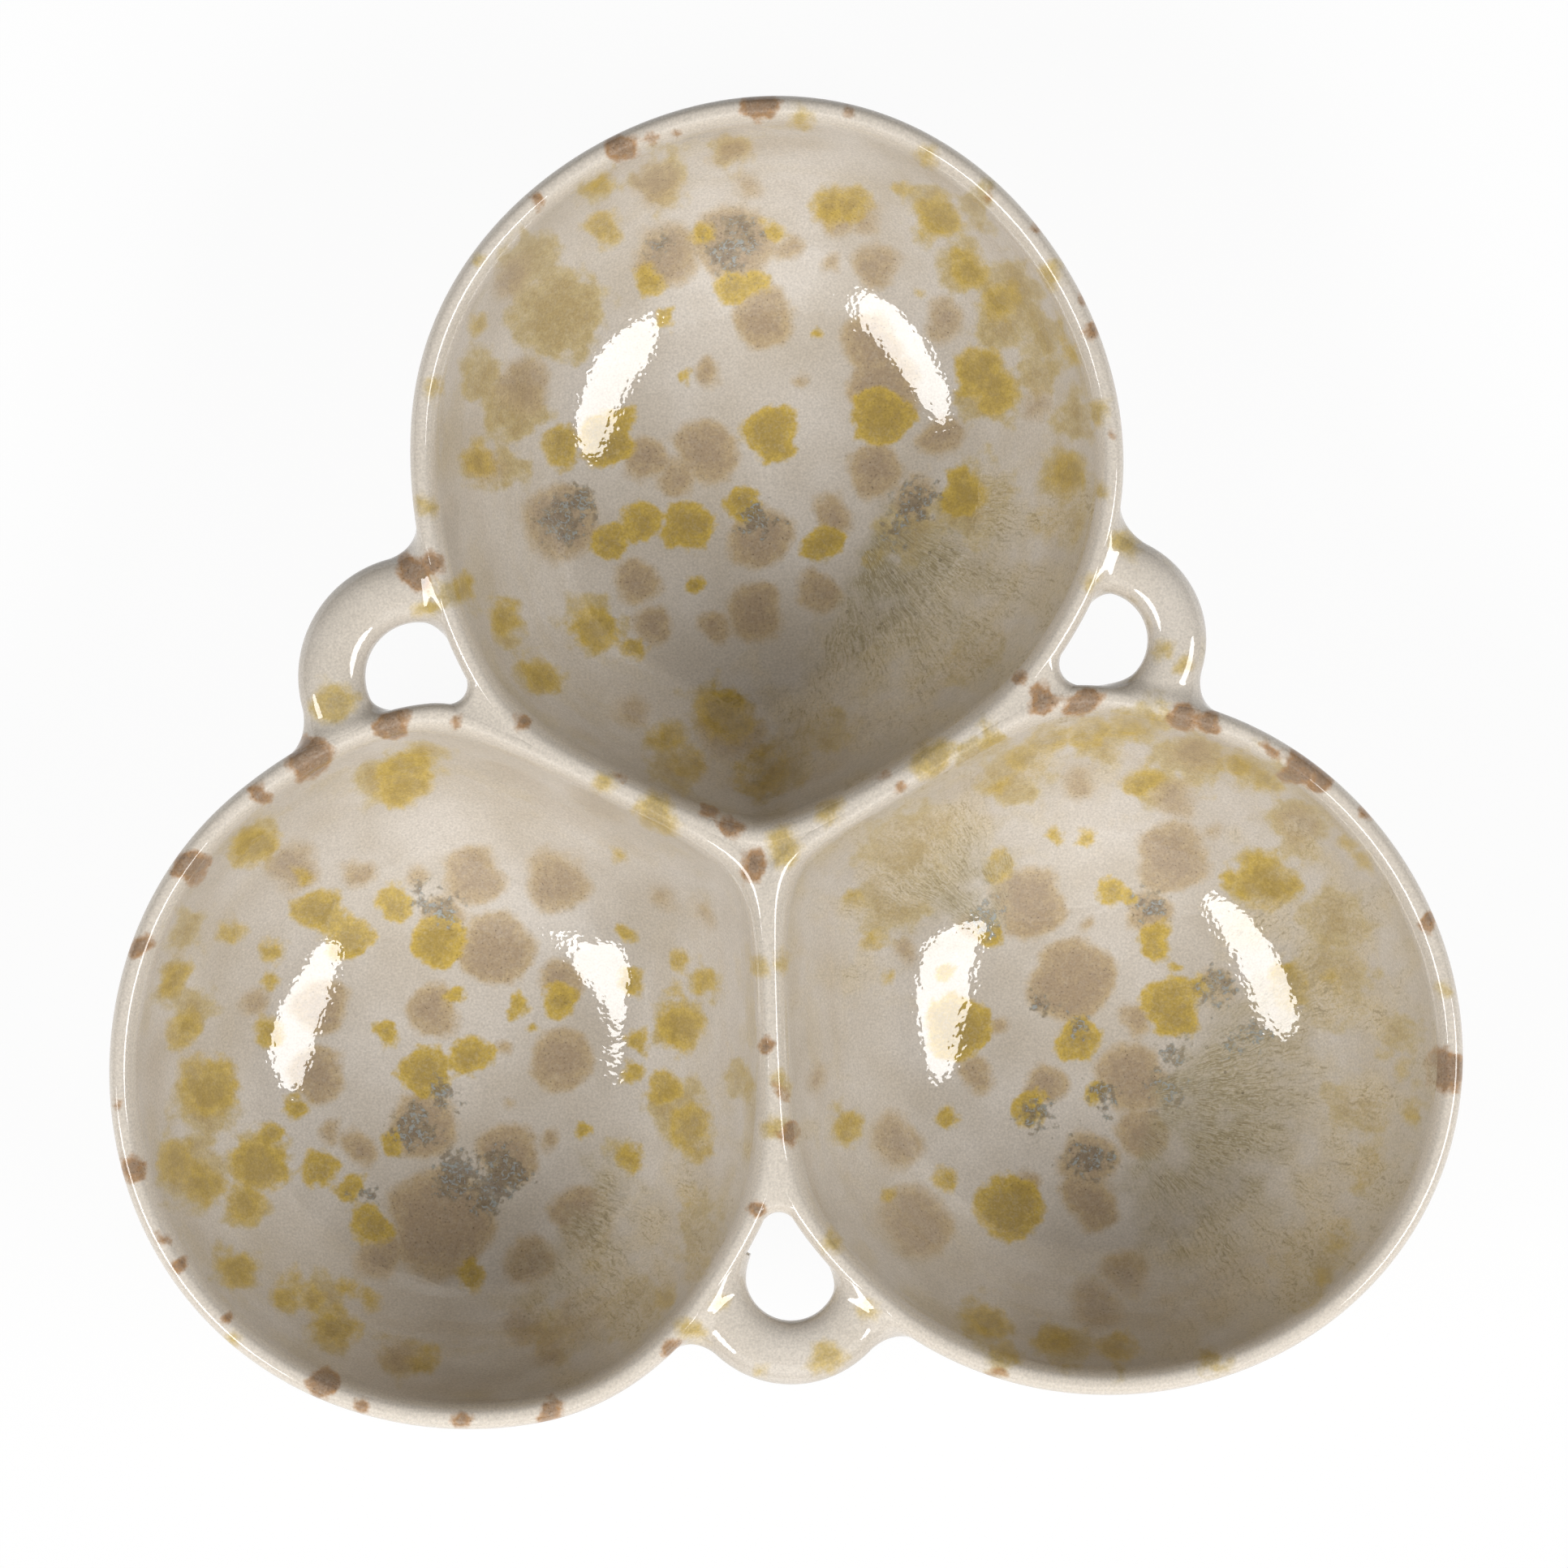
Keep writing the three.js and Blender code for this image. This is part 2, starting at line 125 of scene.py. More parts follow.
def wall_distance(bowl, angle, true_radius, outward):
    """Plan distance from the axis to a point of the wall that has a true radius on an even bowl and lies
    outward from the inner face. The unevenness grows from the foot to the rim. Before each flat seam the
    inner face eases off to a straight line that leans in below the rim, and the crest eases off later, so
    that it lies on the seam."""
    outer = true_radius + WALL - outward
    fade = np.clip((outer - FOOT_RADIUS) / (bowl["radius"] - FOOT_RADIUS), 0, 1) ** 2
    free = outer + fade * unevenness(bowl, angle) - WALL
    inner = free
    crest = free
    lean = SEAM_LEAN * (bowl["radius"] - outer) * (1 - outward / WALL)
    lean = lean * (1 - np.exp(-((true_radius / LEAN_START) ** 2)))
    for bearing, distance in bowl["planes"]:
        facing = np.maximum(np.cos(angle - bearing), LEAST_FACING)
        flat = (distance - SEAM_WALL - lean) / facing
        inner = eased_minimum(inner, flat, SEAM_BLEND)
        crest = eased_minimum(crest, flat, CREST_BLEND)
    flatness = np.clip(free - inner, 0, 1)
    inner = inner + (crest - inner) * np.minimum(outward / ROLL, 1)
    return inner + outward * (1 + flatness * (SEAM_WALL / ROLL - 1))


def bowl_grid(bowl):
    """Rows run from the middle of the well up its face, over the bead of the rim and down the outside, and
    columns run round the axis. The outside is a quarter of a superellipse and the well a lesser part of one,
    so that it leans out. The rim rolls over from the well by a power of the distance to its crest, and
    ends in a quarter of an ellipse on the outside."""
    rise = np.linspace(0, WELL_SWEEP, WELL_ROWS + 1)[1:]
    roll = np.linspace(1, 0, ROLL_ROWS + 1)[1:]
    turn = np.linspace(0, math.pi / 2, ROUND_ROWS + 1)[1:-1]
    drop = np.linspace(math.pi / 2, 0, OUTSIDE_ROWS + 1)[:-1]
    power = 2 / FULLNESS
    well_power = 2 / WELL_FULLNESS
    bead = np.concatenate([ROLL * (1 - roll), ROLL + CREST * np.sin(turn)])
    well = (bowl["radius"] - WALL) * (np.sin(rise) / math.sin(WELL_SWEEP)) ** well_power
    outside = bowl["radius"] * np.sin(drop) ** power
    true_radius = np.concatenate([well, bowl["radius"] - WALL + bead, outside])
    outward = np.concatenate([0 * rise, bead, 0 * drop + WALL])
    climb = (1 - np.cos(rise) ** well_power) / (1 - math.cos(WELL_SWEEP) ** well_power)
    height = np.concatenate([
        FOOT_LIFT + FLOOR + (RIM_HEIGHT - ROLL_DEPTH - FOOT_LIFT - FLOOR) * climb,
        RIM_HEIGHT - ROLL_DEPTH * roll**ROLL_POWER,
        RIM_HEIGHT - RIM_ROUND * (1 - np.cos(turn)),
        RIM_BASE - (RIM_BASE - FOOT_LIFT) * np.abs(np.cos(drop)) ** power,
    ])
    angle = np.linspace(0, 2 * math.pi, BOWL_SIDES, endpoint=False)[None, :]
    reach = wall_distance(bowl, angle, true_radius[:, None], outward[:, None])
    height = height[:, None] + 0 * reach
    for bearing, distance in bowl["planes"]:
        seam = distance / np.maximum(np.cos(angle - bearing), LEAST_FACING)
        reach = np.minimum(reach, seam + SEAM_OVERLAP)
    x = bowl["axis"][0] + reach * np.cos(angle)
    y = bowl["axis"][1] + reach * np.sin(angle)
    return np.stack([x, y, height], axis=-1)


def turned_mesh(grid, first_pole, last_pole):
    """Points and faces of a closed surface: a grid that is closed along its columns, with a fan of
    triangles from its first row and from its last row to a pole."""
    rows, sides = grid.shape[:2]
    points = np.concatenate([grid.reshape(-1, 3), [first_pole, last_pole]])
    index = np.arange(rows * sides).reshape(rows, sides)
    beside = np.roll(index, -1, axis=1)
    quads = np.stack([index[:-1], index[1:], beside[1:], beside[:-1]], axis=-1).reshape(-1, 4)
    start = np.stack([index[0], beside[0], 0 * index[0] + rows * sides], axis=-1)
    end = np.stack([beside[-1], index[-1], 0 * index[0] + rows * sides + 1], axis=-1)
    return points, quads.tolist() + start.tolist() + end.tolist()


def add_piece(name, points, faces, material, fields):
    """A smooth mesh object at the origin, from points in millimetres, with fields as point attributes."""
    mesh = bpy.data.meshes.new(name)
    mesh.from_pydata((points * MM).tolist(), [], faces)
    mesh.shade_smooth()
    for field, values in fields.items():
        kind, key = ("FLOAT", "value") if values.ndim == 1 else ("FLOAT_VECTOR", "vector")
        layer = mesh.attributes.new(field, kind, "POINT")
        layer.data.foreach_set(key, np.ascontiguousarray(values, dtype=np.float32).ravel())
    mesh.materials.append(material)
    piece = bpy.data.objects.new(name, mesh)
    bpy.context.scene.collection.objects.link(piece)
    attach(piece, "root")
    return piece


def linear(code):
    """An sRGB hex colour as linear red, green and blue, with an alpha of 1."""
    srgb = np.array([int(code[i : i + 2], 16) for i in (1, 3, 5)]) / 255
    return (*np.where(srgb <= 0.04045, srgb / 12.92, ((srgb + 0.055) / 1.055) ** 2.4).tolist(), 1.0)


def add_node(tree, kind, sockets=None, output=0, **settings):
    """Adds a shader node, sets its properties, links or fills its input sockets by name or number, and
    gives one of its outputs. A Map Range has its value at 0, the range that this has at 1 and 2, and the
    range that it gets at 3 and 4. A Mix has its share at 0, its colours at 6 and 7 and its result at 2."""
    made = tree.nodes.new("ShaderNode" + kind)
    for key, value in settings.items():
        setattr(made, key, value)
    for key, value in (sockets or {}).items():
        if isinstance(value, bpy.types.NodeSocket):
            tree.links.new(value, made.inputs[key])
        else:
            made.inputs[key].default_value = value
    return made.outputs[output] if len(made.outputs) else None


def new_material(name):
    """An empty material, and the function that adds nodes to it."""
    material = bpy.data.materials.new(name)
    material.use_nodes = True
    material.node_tree.nodes.clear()
    return material, partial(add_node, material.node_tree)


# Marks in the glaze, by kind: where each is seen from above and its radius, in pixels of the photograph.
MARKS = {
    "taupe": [
        (820, 310, 42), (908, 300, 50), (937, 398, 40), (975, 305, 18), (1023, 323, 11), (1075, 330, 26),
        (1030, 265, 26), (1065, 275, 18), (1080, 430, 36), (1085, 475, 46), (1165, 390, 26),
        (1163, 535, 28), (1078, 575, 36), (870, 455, 16), (985, 470, 8), (795, 560, 30), (870, 555, 40),
        (835, 590, 22), (690, 640, 50), (785, 715, 26), (805, 770, 28), (930, 750, 36), (880, 770, 18),
        (935, 665, 40), (1027, 640, 24), (1015, 730, 24), (780, 880, 22), (1125, 620, 26),
        (1280, 500, 16), (810, 225, 34), (905, 183, 24), (922, 228, 14), (630, 340, 26), (640, 470, 34),
        (600, 575, 22), (900, 900, 40), (355, 1065, 30), (445, 1078, 20), (515, 1078, 11),
        (545, 1125, 30), (528, 1240, 33), (395, 1245, 34), (315, 1235, 18), (583, 1075, 38),
        (690, 1090, 42), (610, 1175, 48), (690, 1205, 26), (690, 1300, 40), (620, 1290, 10),
        (405, 1393, 14), (445, 1415, 22), (385, 1320, 34), (520, 1390, 42), (545, 1510, 70),
        (490, 1672, 26), (625, 1420, 40), (677, 1403, 11), (655, 1560, 28), (720, 1500, 38),
        (650, 1630, 28), (715, 1620, 34), (680, 1665, 22), (628, 1360, 7), (470, 1550, 30),
        (870, 1125, 12), (815, 1105, 12), (1330, 968, 20), (1265, 1105, 46), (1195, 1140, 16),
        (1115, 1170, 13), (1230, 1265, 12), (1325, 1215, 57), (1207, 1017, 7), (1340, 1138, 10),
        (1440, 980, 26), (1440, 1050, 46), (1495, 1025, 10), (1420, 1120, 30), (1400, 1255, 16),
        (1500, 1210, 22), (1200, 1320, 20), (1290, 1335, 30), (1345, 1425, 36), (1345, 1480, 34),
        (1130, 1510, 46), (1110, 1410, 32), (1005, 1330, 16), (1265, 1460, 22), (1390, 1320, 44),
        (1350, 1610, 32), (1385, 1565, 28), (1470, 925, 26), (1410, 1400, 34), (1600, 1020, 30),
    ],
    "mustard": [
        (945, 530, 35), (750, 548, 34), (770, 515, 11), (795, 645, 26), (850, 645, 34), (752, 668, 24),
        (915, 618, 26), (857, 720, 16), (735, 775, 30), (780, 800, 14), (1015, 668, 26), (1090, 520, 36),
        (1020, 250, 24), (1050, 248, 22), (1160, 270, 28), (1195, 335, 24), (1205, 455, 34),
        (1225, 480, 26), (1230, 370, 26), (1110, 232, 8), (1140, 193, 10), (985, 150, 12),
        (745, 282, 22), (740, 228, 16), (590, 400, 16), (690, 545, 24), (590, 570, 20), (570, 725, 20),
        (620, 765, 24), (665, 835, 24), (820, 910, 18), (890, 880, 34), (850, 940, 22), (940, 950, 34),
        (818, 390, 11), (1006, 412, 6), (1133, 362, 5), (1320, 435, 14), (1290, 340, 12),
        (1320, 580, 26), (1290, 640, 20), (845, 463, 7), (865, 285, 14), (905, 352, 22), (955, 285, 12),
        (935, 345, 16), (800, 350, 20), (685, 540, 8), (1075, 690, 12), (1190, 610, 30), (500, 970, 34),
        (500, 945, 30), (315, 1040, 30), (375, 1080, 9), (390, 1122, 32), (435, 1158, 28),
        (490, 1118, 22), (540, 1155, 34), (285, 1150, 16), (333, 1172, 13), (215, 1210, 22),
        (228, 1270, 24), (335, 1210, 10), (330, 1270, 16), (475, 1270, 16), (690, 1235, 22),
        (637, 1243, 12), (657, 1265, 5), (560, 1225, 10), (578, 1302, 28), (525, 1320, 34),
        (775, 1210, 16), (770, 1150, 12), (840, 1262, 32), (838, 1182, 12), (868, 1210, 14),
        (833, 1220, 8), (785, 1280, 13), (763, 1053, 7), (260, 1345, 36), (240, 1330, 24),
        (365, 1367, 13), (330, 1400, 20), (315, 1435, 36), (300, 1480, 24), (215, 1430, 26),
        (250, 1460, 26), (393, 1440, 22), (430, 1465, 20), (460, 1512, 24), (430, 1585, 12),
        (455, 1600, 12), (362, 1570, 8), (483, 1410, 14), (290, 1565, 24), (350, 1600, 16),
        (385, 1600, 18), (410, 1635, 28), (525, 1675, 18), (782, 1322, 13), (718, 1393, 8),
        (820, 1340, 24), (850, 1390, 30), (775, 1430, 20), (580, 1570, 18), (730, 1560, 12),
        (845, 1470, 12), (860, 1560, 20), (820, 1600, 22), (860, 1420, 18), (1228, 1070, 18),
        (1220, 1150, 18), (1072, 1160, 14), (1050, 1110, 16), (1095, 1205, 8), (1165, 1200, 14),
        (1185, 1268, 42), (1330, 1278, 28), (1370, 1100, 18), (1338, 1033, 11), (1300, 1030, 6),
        (1290, 910, 30), (1340, 905, 26), (1265, 935, 26), (1235, 965, 10), (1525, 945, 20),
        (1560, 962, 22), (1405, 965, 24), (1660, 1040, 12), (1680, 1058, 14), (1560, 1090, 40),
        (1515, 1083, 12), (1420, 1158, 20), (1390, 1105, 12), (1448, 1192, 6), (1475, 1215, 13),
        (1440, 1242, 36), (1265, 1365, 24), (1350, 1345, 16), (1165, 1380, 12), (1165, 1452, 12),
        (1095, 1470, 9), (1045, 1390, 20), (1245, 1485, 46), (1025, 1530, 10), (1220, 1630, 24),
        (1240, 1665, 14), (1300, 1655, 20), (1375, 1660, 22), (1490, 1670, 12), (1610, 1590, 30),
        (1650, 1520, 20), (1730, 1315, 10), (1735, 1370, 14), (1690, 1440, 16), (1390, 895, 22),
        (1430, 890, 14), (1590, 1210, 26), (1640, 1220, 20), (805, 1000, 26), (745, 965, 14),
        (1150, 935, 28), (1225, 912, 16), (1020, 1000, 14), (965, 1045, 20), (935, 1190, 14),
        (965, 1185, 12), (960, 1330, 10), (955, 1390, 14), (590, 320, 7), (528, 625, 10),
        (1355, 605, 10), (1350, 510, 14), (1780, 1222, 10), (285, 1650, 8), (535, 475, 10),
        (410, 868, 26), (530, 722, 9), (525, 750, 10), (1385, 668, 20), (1345, 715, 6), (1460, 820, 12),
        (1020, 1672, 20), (1070, 1615, 8), (850, 1638, 16), (888, 1605, 9), (935, 1690, 8),
        (1435, 800, 8),
    ],
    "crystal": [
        (895, 315, 20), (915, 285, 18), (815, 300, 12), (690, 640, 24), (715, 615, 16), (930, 640, 16),
        (1125, 625, 22), (1105, 655, 14), (545, 1120, 18), (520, 1110, 10), (510, 1390, 20),
        (545, 1345, 10), (620, 1450, 30), (560, 1450, 26), (600, 1480, 22), (447, 1470, 9),
        (1215, 1130, 16), (1280, 1240, 9), (1330, 1265, 9), (1420, 1115, 16), (1500, 1210, 18),
        (1275, 1376, 14), (1345, 1425, 22), (1440, 1340, 16), (1445, 1300, 12), (1545, 1275, 18),
        (1520, 1285, 14), (1360, 1345, 14),
    ],
    "rust": [
        (935, 128, 23), (763, 182, 22), (803, 168, 8), (833, 165, 6), (660, 243, 9), (1047, 138, 4),
        (1218, 240, 6), (1278, 282, 8), (1332, 368, 6), (1348, 405, 10), (1370, 535, 5), (380, 932, 29),
        (480, 892, 20), (320, 982, 13), (233, 1067, 25), (172, 1167, 14), (163, 1440, 16),
        (145, 1360, 6), (200, 1528, 5), (222, 1558, 12), (280, 1625, 8), (400, 1703, 21), (445, 1733, 8),
        (570, 1750, 12), (680, 1740, 14), (830, 1660, 12), (933, 1490, 12), (1605, 945, 23),
        (1628, 960, 18), (1567, 925, 8), (1682, 1000, 8), (1760, 1135, 14), (1783, 1317, 31),
        (1333, 868, 23), (1285, 865, 16), (1490, 890, 16), (1455, 885, 18), (1230, 1690, 8),
        (765, 957, 6), (645, 890, 10), (563, 888, 8), (1090, 955, 5), (1110, 970, 8), (1255, 835, 10),
        (945, 1288, 10), (960, 1343, 6), (975, 1395, 18), (900, 1020, 16), (930, 1065, 16),
        (875, 1000, 12), (510, 705, 21), (530, 690, 13),
    ],
}
# Washes, where marks ran down a steep wall and went pale and wide.
MARKS["wash"] = [
    (686, 390, 62), (652, 318, 40), (595, 464, 28), (635, 505, 42), (592, 579, 27), (626, 568, 24),
    (738, 235, 22), (813, 223, 36), (905, 186, 24), (1157, 269, 34), (1197, 252, 26), (1192, 332, 32),
    (1249, 361, 44), (1237, 401, 34), (1214, 470, 44), (1278, 459, 30), (1283, 413, 32), (1329, 522, 34),
    (1318, 579, 38), (1323, 640, 30), (1203, 619, 50), (1122, 654, 44), (732, 774, 36), (623, 774, 28),
    (562, 735, 26), (663, 835, 28), (887, 883, 46), (824, 906, 28), (824, 952, 28), (956, 946, 48),
    (1020, 895, 40), (1197, 814, 36), (312, 1036, 34), (482, 962, 42), (517, 930, 30), (227, 1142, 26),
    (216, 1212, 28), (237, 1245, 34), (253, 1358, 42), (230, 1441, 48), (312, 1429, 40), (300, 1482, 26),
    (294, 1570, 30), (347, 1600, 18), (400, 1600, 26), (406, 1640, 28), (494, 1676, 32), (681, 1640, 38),
    (775, 1617, 40), (834, 1259, 32), (834, 1360, 40), (857, 1405, 24), (875, 1206, 18), (910, 1323, 22),
    (770, 1429, 18), (862, 1520, 40), (1123, 1045, 64), (1095, 1107, 54), (1257, 950, 46),
    (1212, 922, 30), (1353, 912, 38), (1409, 896, 32), (1465, 933, 46), (1543, 950, 34), (1431, 967, 28),
    (1600, 1023, 46), (1560, 1090, 44), (1644, 1135, 44), (1633, 1208, 56), (1723, 1275, 34),
    (1740, 1370, 17), (1672, 1365, 38), (1689, 1438, 30), (1616, 1556, 48), (1218, 1634, 32),
    (1230, 1668, 22), (1308, 1657, 32), (1375, 1668, 26), (1493, 1679, 16), (1040, 1390, 22),
]
# Hairy runs, where the glaze flowed out from a point: that point, the bearing that the run makes for, half
# its opening in degrees, and how far out it starts and ends.
RUNS = [
    (1075, 665, -52, 68, 0, 320),
    (1430, 1370, -12, 80, 0, 340),
    (600, 1440, -32, 34, 130, 330),
    (1215, 1135, 140, 56, 10, 200),
]
PHOTO_SCALE = 0.1438  # millimetres to a pixel at the height of the rims
PHOTO_MIDDLE = np.array([966.0, 966.0])
VIEW_MIDDLE = np.array([-0.36, -3.81])  # the point of the rims' plane in the middle of the photograph
VIEW_DISTANCE = 1400  # camera to the rims' plane
FAR_AWAY = 99.0
SETTLE_ROUNDS = 3


def seen_at(pixels, height):
    """The plan place of a pixel whose line of sight meets the glaze at a height: lower down spreads wider."""
    spread = PHOTO_SCALE * (1 + (RIM_HEIGHT - height) / VIEW_DISTANCE)
    return VIEW_MIDDLE + (pixels - PHOTO_MIDDLE) * spread[:, None] * [1, -1]


def settle(marks, surface):
    """Marks as x, y, z and radius in millimetres: each lies on the surface point nearest to it in plan."""
    marks = np.array(marks, float)
    height = np.full(len(marks), float(RIM_HEIGHT))
    for _ in range(SETTLE_ROUNDS):
        place = seen_at(marks[:, :2], height)
        nearest = [np.argmin(((surface[:, :2] - spot) ** 2).sum(axis=1)) for spot in place]
        height = surface[nearest, 2]
    return np.column_stack([place, height, marks[:, 2] * PHOTO_SCALE])


WAVE_COUNT = 8
WAVE_SEED = 5
WAVE_REACH = 2.8  # millimetres to a radian
WAVE_PUSH = 0.26  # millimetres
waves = np.random.default_rng(WAVE_SEED)
WAVES = waves.normal(size=(3, WAVE_COUNT)) / WAVE_REACH
WAVE_STARTS = waves.uniform(0, 2 * math.pi, WAVE_COUNT)
WAVE_PUSHES = waves.normal(size=(WAVE_COUNT, 3)) * WAVE_PUSH
FLATTENED = np.array([1, 1, 0.4])  # marks spread more down a wall than across it


def strayed(points):
    """Points pushed about by slow waves and seen nearly in plan, so that round marks come out uneven."""
    return (points + np.sin(points @ WAVES + WAVE_STARTS) @ WAVE_PUSHES) * FLATTENED


def depth_inside(points, marks):
    """How deep each point lies inside its nearest mark: the mark's radius less the distance to its middle."""
    depth = np.full(len(points), -FAR_AWAY)
    places = strayed(points)
    for middle, radius in zip(strayed(marks[:, :3]), marks[:, 3]):
        depth = np.maximum(depth, radius - np.linalg.norm(places - middle, axis=1))
    return depth


RUN_STRENGTH = 9
RUN_WIDEST = 0.5  # share of a run's length beyond which it grows no wider
RUN_SLANT = 0.6  # how fast it thins out at its sides
FAN_SETBACK = 12  # millimetres from the start of a run back to the point that its hairs fan out from
FAN_RADIUS = 40  # the hairs are as far apart as at this radius
FAN_STRETCH = 4


def run_fields(points):
    """How deep each point lies inside a hairy run, how far the run has ebbed there, and a place for its
    hairs that hardly changes along them."""
    depth = np.full(len(points), -FAR_AWAY)
    ebb = np.zeros(len(points))
    hairs = np.zeros_like(points)
    for x, y, bearing, opening, near, far in RUNS:
        start = seen_at(np.array([[x, y]]), np.array([FOOT_LIFT + FLOOR]))[0]
        offset = points[:, :2] - start
        distance = np.linalg.norm(offset, axis=1)
        angle = np.arctan2(offset[:, 1], offset[:, 0])
        off_bearing = np.abs((angle - math.radians(bearing) + math.pi) % (2 * math.pi) - math.pi)
        ebbed = distance / (far * PHOTO_SCALE)
        widening = np.minimum(distance, RUN_WIDEST * far * PHOTO_SCALE)
        aside = (math.radians(opening) - off_bearing) * widening * RUN_SLANT
        inside = np.minimum(aside, RUN_STRENGTH * (1 - ebbed))
        inside = np.minimum(inside, distance - near * PHOTO_SCALE)
        inside = np.where(points[:, 2] > RIM_BASE, -FAR_AWAY, inside)
        here = inside > depth
        depth = np.where(here, inside, depth)
        ebb = np.where(here, np.clip(ebbed, 0, 1), ebb)
        heading = np.array([math.cos(math.radians(bearing)), math.sin(math.radians(bearing))])
        spread = points[:, :2] - start + FAN_SETBACK * heading
        sweep = np.arctan2(spread[:, 1], spread[:, 0])
        reach = np.linalg.norm(spread, axis=1)
        fan = [FAN_RADIUS * np.cos(sweep), FAN_RADIUS * np.sin(sweep), reach / FAN_STRETCH]
        fan = np.column_stack(fan)
        hairs = np.where(here[:, None], fan, hairs)
    return depth, ebb, hairs


# Glazed stoneware: a glassy coat over fired clay, glossy and faintly pitted like orange peel. The eye sees
# a grainy warm grey, soft taupe spots, feathery mustard ones, and cream rims where the coat runs thin.
# The sizes of its patterns, from the clouds in the grey down to the grain, are in millimetres.
CLOUD = 16
WAVE = 10
HAZE = 7
LOCK = 4
SWIRL = 3.5
BUBBLE = 2.4
MOTTLE = 1.6
PEEL = 1.3
FLECK = 1.1
HAIR = 0.5
GRAIN = 0.4
PEEL_DEPTH = 0.045
WAVE_DEPTH = 0.22
HAIR_BEND = 2.4
WALL_FOOT = 13  # heights between which the floor of a well turns into its wall
WALL_TOP = 30
FLOW_STRETCH = (1, 1, 0.25)  # patterns run down a wall
LAYERS = (
    # field, width and depth of its ragged edge, softness on a floor and on a wall, depth of its heart, edge
    # colour, heart colour, cover on a floor and on a wall
    ("wash", 4.0, 3.4, 1.4, 1.6, 5.0, "#cbb98a", "#b09963", 0.9, 0.85),
    ("taupe", 2.0, 0.7, 1.1, 2.0, 3.6, "#c4ae88", "#a99479", 0.95, 0.75),
    ("mustard", 2.0, 1.0, 0.7, 1.4, 3.0, "#d2b453", "#ad9450", 0.97, 0.8),
    ("crystal", 1.4, 4.0, 1.2, 2.0, 3.6, "#94886f", "#7b6d5d", 0.8, 0.6),
    ("rust", 2.0, 0.9, 0.9, 0.7, 1.6, "#b98a55", "#977d64", 0.95, 0.95),
)
glaze, node = new_material("reactive_stoneware_glaze")
place = node("TexCoord", output="Object")
in_mm = node("VectorMath", {0: place, "Scale": 1 / MM}, operation="SCALE")
height = node("SeparateXYZ", {0: in_mm}, "Z")
steep = node("MapRange", {0: height, 1: WALL_FOOT, 2: WALL_TOP})
flowing = node("VectorMath", {0: in_mm, 1: FLOW_STRETCH}, operation="MULTIPLY")
clouds = node("TexNoise", {"Vector": in_mm, "Scale": 1 / CLOUD, "Detail": 2})
grain = node("TexNoise", {"Vector": in_mm, "Scale": 1 / GRAIN, "Detail": 2})
fleck = node("TexNoise", {"Vector": in_mm, "Scale": 1 / FLECK, "Detail": 3, "Distortion": 1.5})
mottle = node("TexNoise", {"Vector": flowing, "Scale": 1 / MOTTLE, "Detail": 4, "Roughness": 0.65})
mottle = node("MapRange", {0: mottle, 1: 0.36, 2: 0.64})
patchy = node("MapRange", {0: fleck, 1: 0.36, 2: 0.52, 3: 0.86, 4: 1.0})
cloudy = node("MapRange", {0: clouds, 1: 0.35, 2: 0.65})
colour = node("Mix", {0: cloudy, 6: linear("#d2cac0"), 7: linear("#c6bcae")}, 2, data_type="RGBA")
rim = node("Attribute", output="Fac", attribute_name="rim")
colour = node("Mix", {0: rim, 6: colour, 7: linear("#e1d7c9")}, 2, data_type="RGBA")

# The spots: each layer's field with a ragged edge, drawn from its edge colour to that of its heart.
covers = {}
for field, width, ragged, soft, wall_soft, core, edge, heart, cover, wall_cover in LAYERS:
    inside = node("Attribute", output="Fac", attribute_name=field)
    fringe = node("TexNoise", {"Vector": flowing, "Scale": 1 / width, "Detail": 3, "Roughness": 0.5})
    shift = node("MapRange", {0: fringe, 1: 0.2, 2: 0.8, 3: -ragged, 4: ragged})
    depth = node("Math", {0: inside, 1: shift}, operation="ADD")
    softness = node("MapRange", {0: steep, 3: soft, 4: wall_soft})
    steps = node("Math", {0: depth, 1: softness}, operation="DIVIDE")
    thinned = node("MapRange", {0: steep, 3: cover, 4: wall_cover})
    mask = node("MapRange", {0: steps, 1: -1, 2: 1, 3: 0, 4: thinned}, interpolation_type="SMOOTHSTEP")
    covers[field] = node("Math", {0: mask, 1: patchy}, operation="MULTIPLY")
    deep = node("MapRange", {0: depth, 1: 0, 2: core, 4: 0.75})
    uneven = node("Math", {0: mottle, 1: 0.5, 2: deep}, operation="MULTIPLY_ADD", use_clamp=True)
    tint = node("Mix", {0: uneven, 6: linear(edge), 7: linear(heart)}, 2, data_type="RGBA")
    colour = node("Mix", {0: covers[field], 6: colour, 7: tint}, 2, data_type="RGBA")

# The hairy runs: olive at their start and pale further out, combed into hairs, with pinholes near the start.
hair_place = node("Attribute", output="Vector", attribute_name="hairs")
ebb = node("Attribute", output="Fac", attribute_name="ebb")
run = node("Attribute", output="Fac", attribute_name="run")
swirl = node("TexNoise", {"Vector": in_mm, "Scale": 1 / SWIRL, "Detail": 2}, "Color")
bend = node("VectorMath", {0: swirl, "Scale": HAIR_BEND}, operation="SCALE")
combed = node("VectorMath", {0: hair_place, 1: bend}, operation="ADD")
lock = node("TexNoise", {"Vector": combed, "Scale": 1 / LOCK, "Detail": 2})
hair = node("TexNoise", {"Vector": combed, "Scale": 1 / HAIR, "Detail": 3, "Roughness": 0.6})
haze = node("TexNoise", {"Vector": flowing, "Scale": 1 / HAZE, "Detail": 3})
shift = node("MapRange", {0: haze, 1: 0.3, 2: 0.7, 3: -5, 4: 5})
depth = node("Math", {0: run, 1: shift}, operation="ADD")
flow = node("MapRange", {0: depth, 1: -3, 2: 7, 4: 0.9}, interpolation_type="SMOOTHSTEP")
